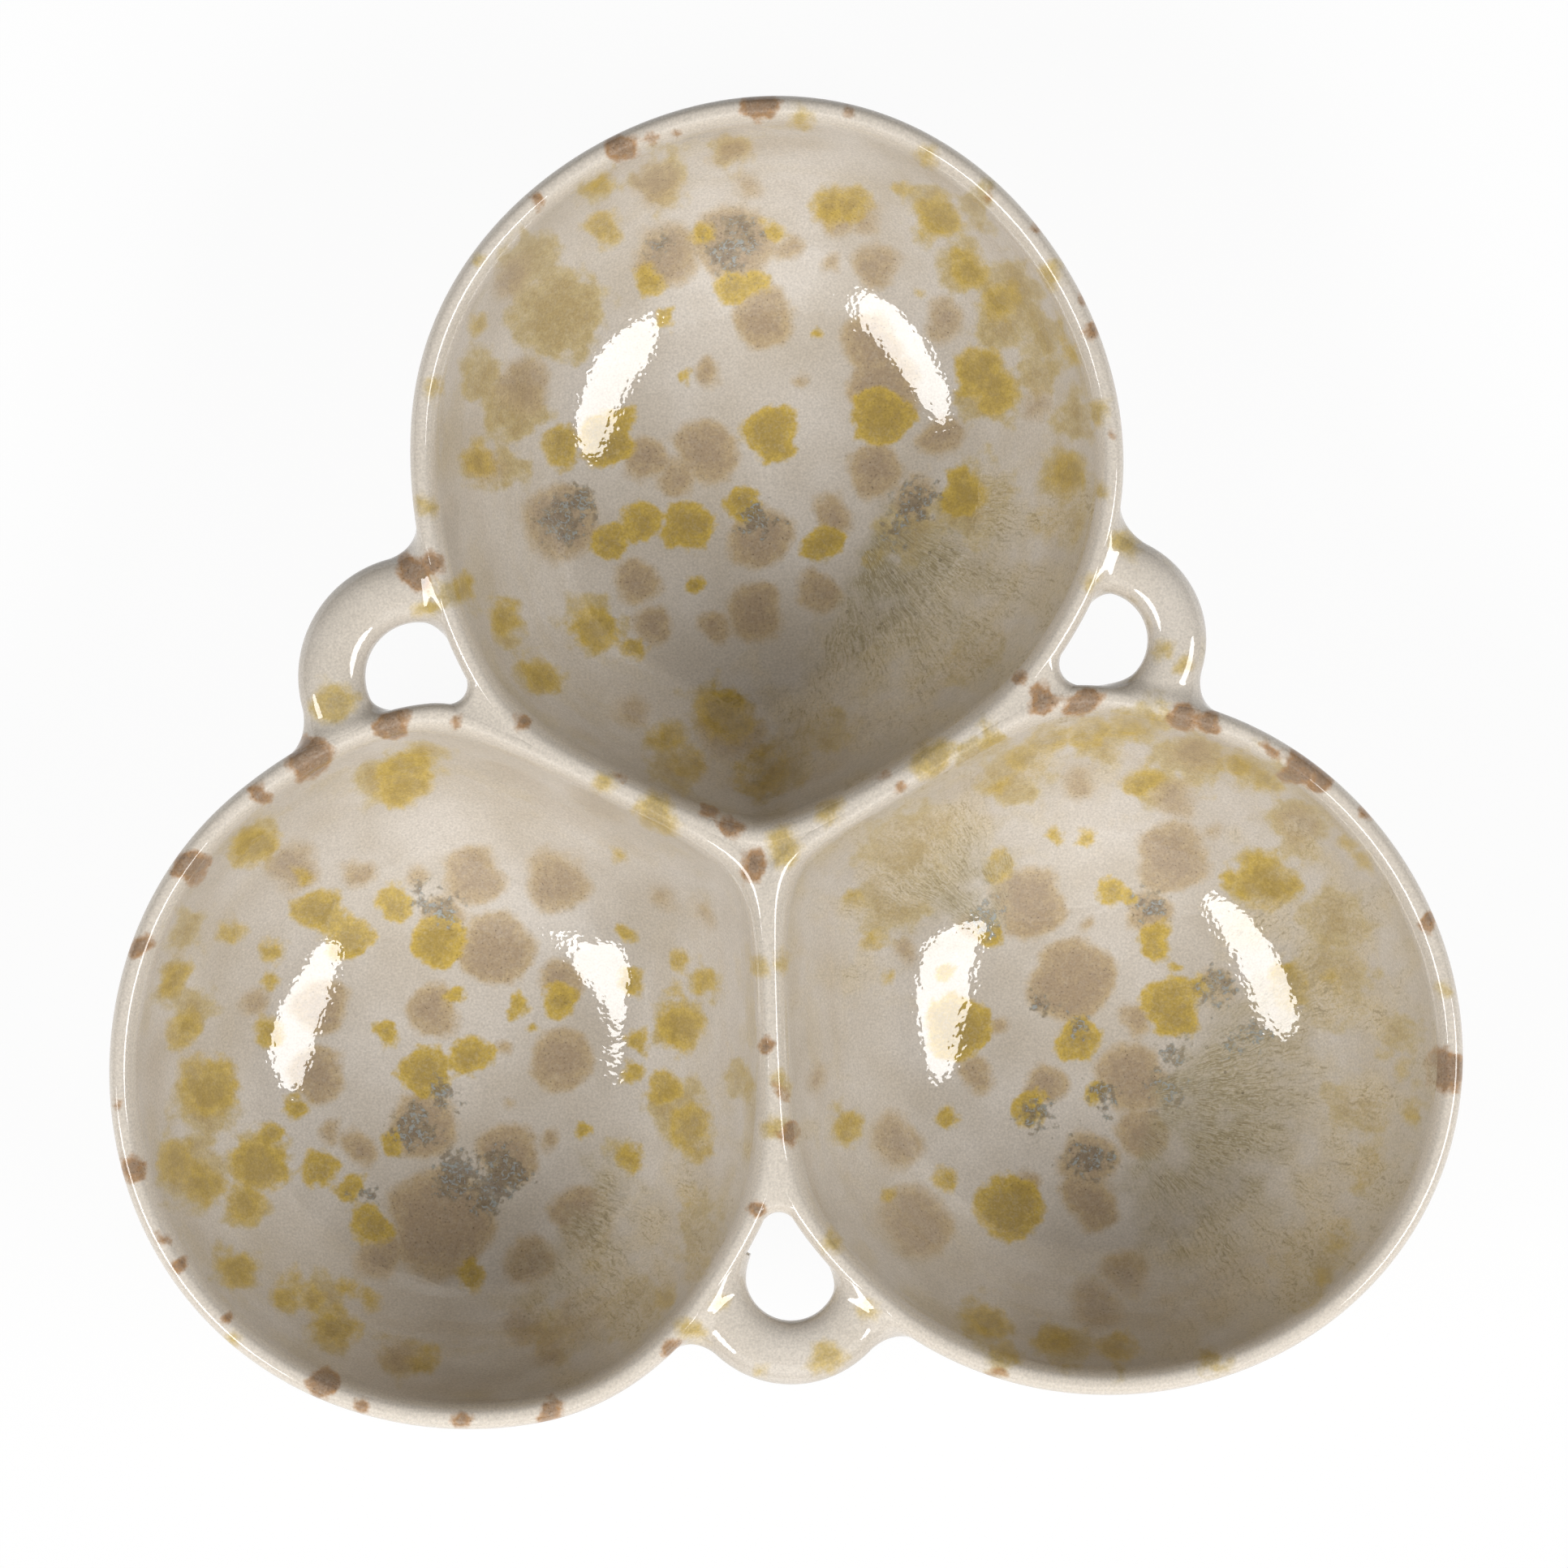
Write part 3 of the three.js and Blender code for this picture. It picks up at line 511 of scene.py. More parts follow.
far = node("MapRange", {0: ebb, 1: 0.1, 2: 0.7, 3: -0.15, 4: 0.85})
far = node("Math", {0: far, 1: lock}, operation="ADD")
far = node("Math", {0: far, 1: 0.35}, operation="SUBTRACT", use_clamp=True)
tint = node("Mix", {0: far, 6: linear("#9f9370"), 7: linear("#cfc0a4")}, 2, data_type="RGBA")
colour = node("Mix", {0: flow, 6: colour, 7: tint}, 2, data_type="RGBA")
pale = node("MapRange", {0: hair, 1: 0.48, 2: 0.62, 4: 0.7})
dark = node("MapRange", {0: hair, 1: 0.46, 2: 0.34, 4: 0.58})
bubble = node("TexVoronoi", {"Vector": in_mm, "Scale": 1 / BUBBLE}, "Distance")
lip = node("MapRange", {0: bubble, 1: 0.16, 2: 0.1, 4: 0.9})
hollow = node("MapRange", {0: bubble, 1: 0.07, 2: 0.1, 3: 0.3, 4: 1})
pinhole = node("Math", {0: lip, 1: hollow}, operation="MULTIPLY")
early = node("MapRange", {0: ebb, 1: 0.45, 2: 0.3})
pinhole = node("Math", {0: pinhole, 1: early}, operation="MULTIPLY")

# Fine marks, each a mask and what it shows on: hairs and pinholes on the runs, blue-grey veins on the
# crystals, and iron specks on the taupe and rust spots.
vein = node("MapRange", {0: fleck, 1: 0.52, 2: 0.6})
speck = node("MapRange", {0: grain, 1: 0.34, 2: 0.26, 4: 0.8})
spotted = node("Math", {0: covers["taupe"], 1: covers["rust"]}, operation="MAXIMUM")
FINE_MARKS = (
    (pale, flow, "#d3c8b6"),
    (dark, flow, "#847759"),
    (pinhole, flow, "#6f6450"),
    (vein, covers["crystal"], "#a3a9a8"),
    (speck, spotted, "#75624f"),
)
for mask, ground, tint in FINE_MARKS:
    mask = node("Math", {0: mask, 1: ground}, operation="MULTIPLY")
    colour = node("Mix", {0: mask, 6: colour, 7: linear(tint)}, 2, data_type="RGBA")
speckle = node("MapRange", {0: grain, 1: 0.2, 2: 0.8, 3: 0.8, 4: 1.16})
colour = node("Mix", {0: 1.0, 6: colour, 7: speckle}, 2, data_type="RGBA", blend_type="MULTIPLY")

# The coat: slow waves under an orange peel, both calmer on the rims, where the glaze is thin.
calm = node("MapRange", {0: rim, 2: 0.8, 3: 1, 4: 0.3})
wave = node("TexNoise", {"Vector": in_mm, "Scale": 1 / WAVE, "Detail": 0})
wavy = node("Bump", {"Height": wave, "Strength": calm, "Distance": WAVE_DEPTH * MM})
peel = node("TexNoise", {"Vector": in_mm, "Scale": 1 / PEEL, "Detail": 1})
pitted = node("Bump", {"Height": peel, "Strength": calm, "Distance": PEEL_DEPTH * MM, "Normal": wavy})
gloss = {"Roughness": 0.03, "IOR": 1.55, "Specular IOR Level": 0.6}
shader = node("BsdfPrincipled", {"Base Color": colour, "Normal": pitted, **gloss})
node("OutputMaterial", {"Surface": shader})

LIP_ROWS = 4  # rows of the bead that the photograph doesn't show
UNDER_RIM_ROWS = 8  # rows of the outside that stay free of strewn spots, at its top and underneath
UNDERSIDE_ROWS = 20
STREW_SEED = 11
RIM_CREAM = 0.8
CREAM_START = 2  # the cream starts this far below the foot of the bead
CREAM_BAND = 4
# How many spots of each kind are strewn over a bowl's outside, and their least and largest radius.
OUTSIDE_MARKS = {"taupe": (26, 2, 7), "mustard": (44, 1.5, 6), "crystal": (6, 1.5, 3)}
bowl_grids = {name: bowl_grid(bowl) for name, bowl in BOWLS.items()}
upper_rows = WELL_ROWS + ROLL_ROWS + ROUND_ROWS - LIP_ROWS
upper_points = np.concatenate([grid[:upper_rows].reshape(-1, 3) for grid in bowl_grids.values()])
marks = {kind: settle(spots, upper_points) for kind, spots in MARKS.items()}
random = np.random.default_rng(STREW_SEED)


def glaze_fields(points, marks, rim):
    """The fields that the glaze reads: a depth for each kind of mark, the hairy runs, and the thin rim."""
    fields = {kind: depth_inside(points, spots) for kind, spots in marks.items()}
    fields["run"], fields["ebb"], fields["hairs"] = run_fields(points)
    fields["rim"] = rim * np.clip((points[:, 2] - RIM_BASE + CREAM_START) / CREAM_BAND, 0, 1)
    return fields


for name, bowl in BOWLS.items():
    grid = bowl_grids[name]
    poles = [(*bowl["axis"], FOOT_LIFT + FLOOR), (*bowl["axis"], FOOT_LIFT)]
    points, faces = turned_mesh(grid, *poles)
    fields = glaze_fields(points, marks, RIM_CREAM)
    outside = np.arange(len(points)) >= upper_rows * BOWL_SIDES
    walls = grid[UNDER_RIM_ROWS - OUTSIDE_ROWS : -UNDERSIDE_ROWS].reshape(-1, 3)
    for kind, (count, small, large) in OUTSIDE_MARKS.items():
        middles = walls[random.integers(0, len(walls), count)]
        strewn = np.column_stack([middles, random.uniform(small, large, count)])
        strewn = np.where(outside, depth_inside(points, strewn), -FAR_AWAY)
        fields[kind] = np.maximum(fields[kind], strewn)
    fields["run"] = np.where(outside, -FAR_AWAY, fields["run"])
    piece = add_piece(f"{name}_glazed_bowl", points, faces, glaze, fields)
    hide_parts(f"{name}_bowl")

# The handles.
# A pulled strap of clay bent over each finger hole, luted to two bowls just under the rims and smoothed
# in with a fingertip, so that it flares into both walls. It is glazed with the bowls.
STRAP_HEIGHT = 9
STRAP_DROP = 1.2
STRAP_SQUARENESS = 0.9
STRAP_ROWS = 180
STRAP_SIDES = 88
STRAP_EASING = 1.6  # rows crowd towards both ends by this power
REACH_LIMIT = math.radians(118)
REACH_START = 0.5  # the ends of the strap are looked for from this turn on, in so many tries
REACH_TRIES = 400
OUTER_FILLET = 6.5
HOLE_FILLET = 3.2
TOP_FILLET = 0.5  # how much smaller the fillets are on top
FILLET_STEPS = 6
LEAST_SLIDE = 0.2
SUNK = 0.15
HANDLE_CREAM = 0.7
NUDGE = 0.05
DEEPEST = 0.98  # share of the wall's height down to which its slope is followed
TINY = 1e-6
HANDLES = {
    "left": {"seam": "rear_left", "standoff": (10.5, 6.7), "bend": 15.6, "width": 12},
    "right": {"seam": "rear_right", "standoff": (4.9, 10.1), "bend": 13.7, "width": 10.5},
    "front": {"seam": "front", "standoff": (4.1, 7.5), "bend": 13.8, "width": 11.4},
}

planes = list(seam_planes.values())
crossings = []
for one, other in ((0, 1), (1, 2), (2, 0)):
    normals = np.array([planes[one][0], planes[other][0]])
    crossings.append(np.linalg.solve(normals, [planes[one][1], planes[other][1]]))
junction = np.mean(crossings, axis=0)


def clearance(bowl, points):
    """How far points lie outside a bowl: beside the wall, the plan distance to its outer face times the
    cosine of its slope, and above the foot of the bead the distance to the bead."""
    offset = points[..., :2] - bowl["axis"]
    reach = np.linalg.norm(offset, axis=-1)
    angle = np.arctan2(offset[..., 1], offset[..., 0])
    rise = points[..., 2] - RIM_BASE
    depth = np.clip(-rise / (RIM_BASE - FOOT_LIFT), 0, DEEPEST)
    narrow = (1 - depth**FULLNESS) ** (1 / FULLNESS)
    slope = bowl["radius"] / (RIM_BASE - FOOT_LIFT) * (depth / narrow) ** (FULLNESS - 1)
    outer = wall_distance(bowl, angle, bowl["radius"] * narrow, WALL)
    beside = (reach - outer) / np.sqrt(1 + slope**2)
    crest = wall_distance(bowl, angle, bowl["radius"] - CREST, ROLL)
    lip = wall_distance(bowl, angle, bowl["radius"], WALL)
    across = (reach - crest) / (lip - crest)
    stretch = np.hypot(across, rise / RIM_ROUND)
    steepness = np.hypot(across / (lip - crest), rise / RIM_ROUND**2)
    bead = (stretch - 1) * stretch / np.maximum(steepness, TINY)
    return np.where(rise > 0, bead, beside)


def pair_clearance(pair, points):
    """How far points lie outside the nearer of two bowls."""
    return np.minimum(clearance(pair[0], points), clearance(pair[1], points))


def away_from(gap, points):
    """The direction in which a clearance grows fastest, by differences over a nudge to both sides."""
    steps = np.eye(3) * NUDGE
    slopes = np.stack([gap(points + step) - gap(points - step) for step in steps], axis=-1)
    return slopes / np.linalg.norm(slopes, axis=-1, keepdims=True)


def handle_grid(handle, gap):
    """Rows run along the strap from one wall to the other, columns round its section. A point of the plain
    strap, a squarish ellipse bent about the hole, moves along the wall as it comes near it, by the quarter
    circle of a fillet, and is then drawn back to its own distance from the wall."""
    round_section = np.linspace(0, 2 * math.pi, STRAP_SIDES, endpoint=False)
    out = np.sign(np.cos(round_section)) * np.abs(np.cos(round_section)) ** STRAP_SQUARENESS
    up = np.sign(np.sin(round_section)) * np.abs(np.sin(round_section)) ** STRAP_SQUARENESS
    level = RIM_HEIGHT - STRAP_DROP - STRAP_HEIGHT / 2
    middle = math.atan2(*(handle["hole"] - junction)[::-1])

    def strap(turn):
        radius = handle["bend"] + handle["width"] / 2 * out
        x = handle["hole"][0] + radius * np.cos(middle + turn)
        y = handle["hole"][1] + radius * np.sin(middle + turn)
        return np.stack([x, y, level + STRAP_HEIGHT / 2 * up + 0 * turn], axis=-1)

    tries = np.linspace(REACH_START, REACH_LIMIT, REACH_TRIES)[:, None]
    ends = {}
    for side in (-1, 1):
        sunk = gap(strap(side * tries)) < -SUNK
        ends[side] = tries[np.where(sunk.any(axis=0), sunk.argmax(axis=0), REACH_TRIES - 1), 0]
    along = np.linspace(-1, 1, STRAP_ROWS)[:, None]
    eased = 1 - (1 - np.abs(along)) ** STRAP_EASING
    plain = strap(np.where(along < 0, -eased * ends[-1], eased * ends[1]))
    fillet = HOLE_FILLET + (OUTER_FILLET - HOLE_FILLET) * (1 + np.cos(round_section)) / 2
    fillet = fillet * (1 - TOP_FILLET * np.maximum(np.sin(round_section), 0))
    distance = gap(plain)
    near = np.clip(1 - distance / fillet, 0, 1)
    slide = fillet * (1 - np.sqrt(1 - near**2))
    spoke = plain[..., :2] - handle["hole"]
    spoke = spoke / np.linalg.norm(spoke, axis=-1, keepdims=True)
    upright = (0 * distance + up * handle["width"])[..., None]
    facing = np.concatenate([spoke * (out * STRAP_HEIGHT)[:, None], upright], axis=-1)
    facing = facing / np.linalg.norm(facing, axis=-1, keepdims=True)
    wall = away_from(gap, plain)
    sideways = facing - (facing * wall).sum(axis=-1, keepdims=True) * wall
    sideways = sideways / np.maximum(np.linalg.norm(sideways, axis=-1, keepdims=True), LEAST_SLIDE)
    points = plain + slide[..., None] * sideways
    for _ in range(FILLET_STEPS):
        wanted = np.where(near > 0, distance, gap(points))
        points = points + (wanted - gap(points))[..., None] * away_from(gap, points)
    return points


for name, handle in HANDLES.items():
    pair = [BOWLS[bowl] for bowl in SEAMS[handle["seam"]][:2]]
    start, end = pair[0]["axis"], pair[1]["axis"]
    radii = [bowl["radius"] + apart for bowl, apart in zip(pair, handle["standoff"])]
    span = np.linalg.norm(end - start)
    along = (end - start) / span
    step = (span**2 + radii[0] ** 2 - radii[1] ** 2) / (2 * span)
    aside = np.array([-along[1], along[0]]) * math.sqrt(radii[0] ** 2 - step**2)
    corners = start + along * step + np.array([[1], [-1]]) * aside
    handle["hole"] = corners[np.linalg.norm(corners - junction, axis=1).argmax()]
    grid = handle_grid(handle, partial(pair_clearance, pair))
    poles = [ring.mean(axis=0) for ring in (grid[0], grid[-1])]
    points, faces = turned_mesh(grid, *poles)
    fields = glaze_fields(points, marks, HANDLE_CREAM)
    piece = add_piece(f"{name}_glazed_handle", points, faces, glaze, fields)
    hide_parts(f"{name}_handle")

# The seams.
# A roll of soft clay worked with a fingertip into the groove where two bowls part, all round the flat that
# they share. It leaves a smooth hollow corner at the finger hole and underneath.
CORNER_ROUNDS = {"rear_left": 3.4, "rear_right": 3.8, "front": 3.2}
SEAM_ROWS = 220
SEAM_SIDES = 16
SEAM_SINK = 0.05
SEAM_EDGE = 0.6  # thickness of the shell of clay that is modelled
SEAM_SMOOTHING = 24
SEAM_NARROW = 1.5  # a strip of clay narrower than this is sunk by so many times as much
SEAM_NARROW_SINK = 3
SEAM_COVER = 0.8  # how much deeper the seam lies under the land and the web
SEAM_COVERED = 48  # height from which it does so
SEAM_COVER_STEP = 3
SEAM_SPAN = 70  # longest way from the middle of a flat to its edge
BALL_STEPS = 24
BALL_MOVE = 0.6
BALL_DAMPING = 0.02
FLAT_START = 8  # the middle of a flat lies between these distances from the junction and the hole
FLAT_END = 16
FLAT_DROP = 4
LAND_BALL = 12  # a fingertip that smooths the land at the end of a seam
LAND_TIP = -1.6  # the land starts where the rims still overlap by this much
LAND_NARROW = 0.05
LAND_SINK = 0.02
LAND_TIP_SINK = 0.08
LAND_TIP_ROWS = 8
LAND_TUCK = 0.15  # how deep the ends of the corner's arc lie inside the lips
LAND_TUCK_POWER = 6
LAND_MARGIN = 2
LAND_ROWS = 56
LAND_ARC = 28
LAND_LAP = np.array([2.2, 1.7, 1.2, 0.8, 0.4])  # how far the land reaches in over the rims
LAND_LEVELS = np.array([1.5, 5, 9])  # depths down the corner below the foot of the beads
LAND_TUCKS = np.array([0, 0.1, 0.6])
FILL_CELL = 0.3


def ring_mesh(grid):
    """Points and faces of a grid that is closed along its rows and along its columns."""
    rows, sides = grid.shape[:2]
    index = np.arange(rows * sides).reshape(rows, sides)
    below = np.roll(index, -1, axis=0)
    beside = np.roll(index, -1, axis=1)
    corner = np.roll(below, -1, axis=1)
    return grid.reshape(-1, 3), np.stack([index, below, corner, beside], axis=-1).reshape(-1, 4).tolist()


def fit_balls(pair, centre, ray, across, radius):
    """Moves balls along their rays and across the seam, by Newton's method, until each just touches both
    bowls. Gives their middles, and the directions from there to the two touching points."""
    for _ in range(BALL_STEPS):
        short = np.stack([radius - clearance(bowl, centre) for bowl in pair], axis=-1)
        slopes = np.stack([away_from(partial(clearance, bowl), centre) for bowl in pair], axis=1)
        matrix = np.stack([slopes @ across, (slopes * ray[:, None]).sum(axis=-1)], axis=-1)
        move = np.linalg.solve(matrix + BALL_DAMPING * np.eye(2), short[..., None])[..., 0]
        move = np.clip(move, -BALL_MOVE, BALL_MOVE)
        centre = centre + move[:, :1] * across + move[:, 1:] * ray
    return centre, [-away_from(partial(clearance, bowl), centre) for bowl in pair]


def seam_grid(pair, across, middle, along, side, ball):
    """Rows run round the flat that two bowls share, columns across the groove. A ball that touches both
    bowls rolls round the flat, and its arc between the two touching points is the surface of the clay."""
    turn = side * np.linspace(0, 2 * math.pi, SEAM_ROWS, endpoint=False)[:, None]
    ray = np.cos(turn) * along + np.sin(turn) * np.array([0, 0, 1])
    tries = np.arange(0, SEAM_SPAN, SEAM_SINK)
    line = middle + ray[:, None, :] * tries[:, None]
    clear = pair_clearance(pair, line) > ball
    start = line[np.arange(SEAM_ROWS), clear.argmax(axis=1)]
    centre, touch = fit_balls(pair, start, ray, across, ball)
    share = np.linspace(0, 1, SEAM_SIDES)[None, :, None]
    arc = touch[0][:, None] * (1 - share) + touch[1][:, None] * share
    arc = arc / np.linalg.norm(arc, axis=-1, keepdims=True)
    width = ball * np.linalg.norm(touch[1] - touch[0], axis=-1)[:, None, None]
    sink = SEAM_SINK * (1 + SEAM_NARROW_SINK * np.clip(SEAM_NARROW - width, 0, 1))
    sink = sink + SEAM_COVER * np.clip((centre[:, None, 2:] - SEAM_COVERED) / SEAM_COVER_STEP, 0, 1)
    surface = centre[:, None] + (ball + sink) * arc
    back = centre[:, None] + (ball + sink + SEAM_EDGE) * arc[:, ::-1]
    grid = np.concatenate([surface, back], axis=1)
    for _ in range(SEAM_SMOOTHING):
        grid = (np.roll(grid, 1, axis=0) + 2 * grid + np.roll(grid, -1, axis=0)) / 4
    return grid


def rim_height(x, y):
    """The height of the rims over a plan place, falling away steeply into the wells and zero in the gap."""
    top = np.zeros_like(x)
    for bowl in BOWLS.values():
        offset = np.stack([x, y], axis=-1) - bowl["axis"]
        reach = np.linalg.norm(offset, axis=-1)
        angle = np.arctan2(offset[..., 1], offset[..., 0])
        inner = wall_distance(bowl, angle, bowl["radius"] - WALL, 0)
        crest = wall_distance(bowl, angle, bowl["radius"] - CREST, ROLL)
        lip = wall_distance(bowl, angle, bowl["radius"], WALL)
        within = reach < crest
        across = np.abs(reach - crest) / np.where(within, crest - inner, lip - crest)
        rounded = RIM_ROUND * (1 - np.sqrt(np.maximum(1 - across**2, 0)))
        rim = RIM_HEIGHT - np.where(within, ROLL_DEPTH * across**ROLL_POWER, rounded)
        top = np.maximum(top, np.where(across < 1, rim, 0))
    return top


def rolled_over(middle, ball, span):
    """The height near a plan place of the rims with the hollows between them filled, as far as a ball that
    rolls over them can't reach: over each cell of a grid the highest place of the ball's middle, then the
    lowest of its underside. Gives a function that mixes the cells."""
    count = int((span + ball) / FILL_CELL)
    steps = np.arange(-count, count + 1) * FILL_CELL
    x, y = np.meshgrid(middle[0] + steps, middle[1] + steps, indexing="ij")
    top = rim_height(x, y)
    cells = np.arange(-int(ball / FILL_CELL), int(ball / FILL_CELL) + 1)
    i, j = np.meshgrid(cells, cells, indexing="ij")
    room = ball**2 - (i**2 + j**2) * FILL_CELL**2
    steps = [(*step, math.sqrt(high)) for *step, high in zip(i[room >= 0], j[room >= 0], room[room >= 0])]
    middles = np.zeros_like(top)
    for i, j, high in steps:
        middles = np.maximum(middles, np.roll(top, (i, j), (0, 1)) + high)
    under = np.full_like(top, 2 * RIM_HEIGHT)
    for i, j, high in steps:
        under = np.minimum(under, np.roll(middles, (i, j), (0, 1)) - high)

    def height(x, y):
        across = (x - middle[0]) / FILL_CELL + count
        along = (y - middle[1]) / FILL_CELL + count
        i, j = across.astype(int), along.astype(int)
        u, v = across - i, along - j
        near = under[i, j] * (1 - u) + under[i + 1, j] * u
        far = under[i, j + 1] * (1 - u) + under[i + 1, j + 1] * u
        return near * (1 - v) + far * v

    return height


def land_grid(pair, across, middle, along, side, ball):
    """The land at the finger hole. Rows are arcs of circles that just fit between the two rims, from the
    ridge out to the corner of the hole, then down that corner. Columns run from one rim to the other, with
    a last one inside the clay. The top is smoothed by a large ball and rounds over at the corner."""
    tries = np.arange(0, SEAM_SPAN, SEAM_SINK)[:, None]
    line = middle * [1, 1, 0] + [0, 0, RIM_BASE] + along * tries
    clear = pair_clearance(pair, line)
    first = int((clear > LAND_TIP).argmax())
    radius = np.linspace(LAND_TIP, ball, LAND_ROWS)
    start = line[first + np.searchsorted(np.maximum.accumulate(clear[first:]), radius)]
    centre, touch = fit_balls(pair, start, along + 0 * start, across, radius)
    corner = centre[-1] - LAND_LEVELS[:, None] * [0, 0, 1]
    below, touch_below = fit_balls(pair, corner, along + 0 * corner, across, ball)
    centre = np.concatenate([centre, below])
    touch = [np.concatenate(ways) for ways in zip(touch, touch_below)]
    radius = np.concatenate([np.maximum(radius, LAND_NARROW), ball + LAND_TUCKS])
    ends = [np.arctan2(way @ across, -(way @ along)) for way in touch]
    share = np.concatenate([0 * LAND_LAP, np.linspace(0, 1, LAND_ARC), 0 * LAND_LAP + 1])
    tuck = LAND_TUCK * np.abs(np.linspace(-1, 1, LAND_ARC)) ** LAND_TUCK_POWER
    lap = np.concatenate([LAND_TUCK + LAND_LAP, tuck, LAND_TUCK + LAND_LAP[::-1]])
    turn = ends[0][:, None] * (1 - share) + ends[1][:, None] * share
    way = np.sin(turn)[..., None] * across - np.cos(turn)[..., None] * along
    grid = centre[:, None] + (radius[:, None] + lap)[..., None] * way
    last = centre[LAND_ROWS - 1]
    top = grid[:LAND_ROWS]
    span = np.linalg.norm(centre[0] - last) / 2 + 2 * ball + LAND_MARGIN
    filled = rolled_over((centre[0] + last)[:2] / 2, LAND_BALL, span)
    inside = np.linalg.norm((top - last)[..., :2], axis=-1) - ball
    near = np.clip(1 - inside / CREST, 0, 1)
    fall = RIM_ROUND * (1 - np.sqrt(1 - near**2))
    tip = LAND_TIP_SINK * np.maximum(1 - np.arange(LAND_ROWS) / LAND_TIP_ROWS, 0)[:, None]
    top[..., 2] = filled(top[..., 0], top[..., 1]) - LAND_SINK - tip - fall
    core = centre - (radius[:, None] + CREST) * along - np.array([0, 0, LAND_LEVELS[-1]])
    grid = np.concatenate([grid, core[:, None]], axis=1)
    return grid[:, :: -int(side)]


for handle in HANDLES.values():
    name = handle["seam"]
    normal, offset = seam_planes[name]
    pair = [BOWLS[bowl] for bowl in SEAMS[name][:2]]
    along = np.array([-normal[1], normal[0]])
    side = np.sign(along @ (handle["hole"] - junction))
    along = along * side
    inner = along @ junction + FLAT_START
    outer = along @ handle["hole"] - FLAT_END
    middle = np.array([*(normal * offset + along * (inner + outer) / 2), RIM_BASE - FLAT_DROP])
    lay = (np.array([*normal, 0]), middle, np.array([*along, 0]), side, CORNER_ROUNDS[name])
    land = land_grid(pair, *lay)
    surfaces = {
        "seam": ring_mesh(seam_grid(pair, *lay)),
        "land": turned_mesh(land, land[0].mean(axis=0), land[-1].mean(axis=0)),
    }
    for part, (points, faces) in surfaces.items():
        fields = glaze_fields(points, marks, RIM_CREAM)
        piece = add_piece(f"{name}_glazed_{part}", points, faces, glaze, fields)
        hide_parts(f"{name}_seam")

# The centre web.
# A plug of clay pressed into the three-cornered gap between the bowls. Glaze runs down to its dished top
# and pools there.
WEB_BALL = 5.0
WEB_RADIUS = 10
WEB_ROWS = 40
WEB_SIDES = 120
WEB_TRIES = 200
WEB_MARGIN = 4
WEB_THIN = 0.02  # the web ends where it is no thicker than this over the rims
WEB_LAP = 0.4
WEB_SKIRT = np.array([[0.0, 51.0], [0.6, 46.0], [3.0, 37.0], [-1.0, 36.0]])  # past its edge, and height
WEB_FLOOR = 37.0

filled = rolled_over(junction, WEB_BALL, WEB_RADIUS + WEB_MARGIN)
turn = np.linspace(0, 2 * math.pi, WEB_SIDES, endpoint=False)[None, :]
spokes = np.stack([np.cos(turn), np.sin(turn)])
tries = np.linspace(0, WEB_RADIUS, WEB_TRIES)[:, None]
tried = junction[:, None, None] + tries * spokes
bare = filled(*tried) - rim_height(*tried) < WEB_THIN
edge = tries[np.where(bare.any(axis=0), bare.argmax(axis=0), WEB_TRIES - 1), 0] + WEB_LAP
radius = np.linspace(0, 1, WEB_ROWS + 1)[1:, None] * edge
top = junction[:, None, None] + radius * spokes
top = np.stack([*top, filled(*top) - LAND_SINK], axis=-1)
skirt = junction[:, None, None] + (WEB_SKIRT[:, :1] + edge) * spokes
skirt = np.stack([*skirt, WEB_SKIRT[:, 1:] + 0 * turn], axis=-1)
poles = [(*junction, top[0, :, 2].mean()), (*junction, WEB_FLOOR)]
points, faces = turned_mesh(np.concatenate([top, skirt]), *poles)
fields = glaze_fields(points, marks, RIM_CREAM)
piece = add_piece("centre_glazed_web", points, faces, glaze, fields)
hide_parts("centre_web")

# The foot rings.
# A ring of clay under each bowl, turned true and wiped free of glaze so that it doesn't stick to the kiln
# shelf. Bare fired stoneware shows there.
FOOT_WIDTH = 6
FOOT_EDGE = 1.2
FOOT_FLARE = 1.5
FOOT_SIDES = 180
FOOT_TOP = 6.2
FOOT_EDGE_STEPS = 9
FOOT_FLARE_STEPS = 8


def foot_grid(axis):
    """A closed section carried round the axis: flat underneath, with round edges and a flared outside."""
    bend = np.linspace(0, math.pi / 2, FOOT_EDGE_STEPS)
    inside = FOOT_RADIUS - FOOT_WIDTH
    outside = FOOT_RADIUS - FOOT_FLARE
    climb = np.linspace(0, 1, FOOT_FLARE_STEPS)[1:]
    radius = np.concatenate([
        outside - FOOT_EDGE + FOOT_EDGE * np.sin(bend),
        outside + FOOT_FLARE * climb,
        inside + 0 * climb,
        inside + FOOT_EDGE - FOOT_EDGE * np.cos(bend),
    ])
    height = np.concatenate([
        FOOT_EDGE * (1 - np.cos(bend)),
        FOOT_EDGE + (FOOT_TOP - FOOT_EDGE) * climb,
        FOOT_TOP - (FOOT_TOP - FOOT_EDGE) * climb,
        FOOT_EDGE * (1 - np.sin(bend)),
    ])
    turn = np.linspace(0, 2 * math.pi, FOOT_SIDES, endpoint=False)[None, :]
    x = axis[0] + radius[:, None] * np.cos(turn)
    y = axis[1] + radius[:, None] * np.sin(turn)
    return np.stack([x, y, height[:, None] + 0 * x], axis=-1)[::-1]


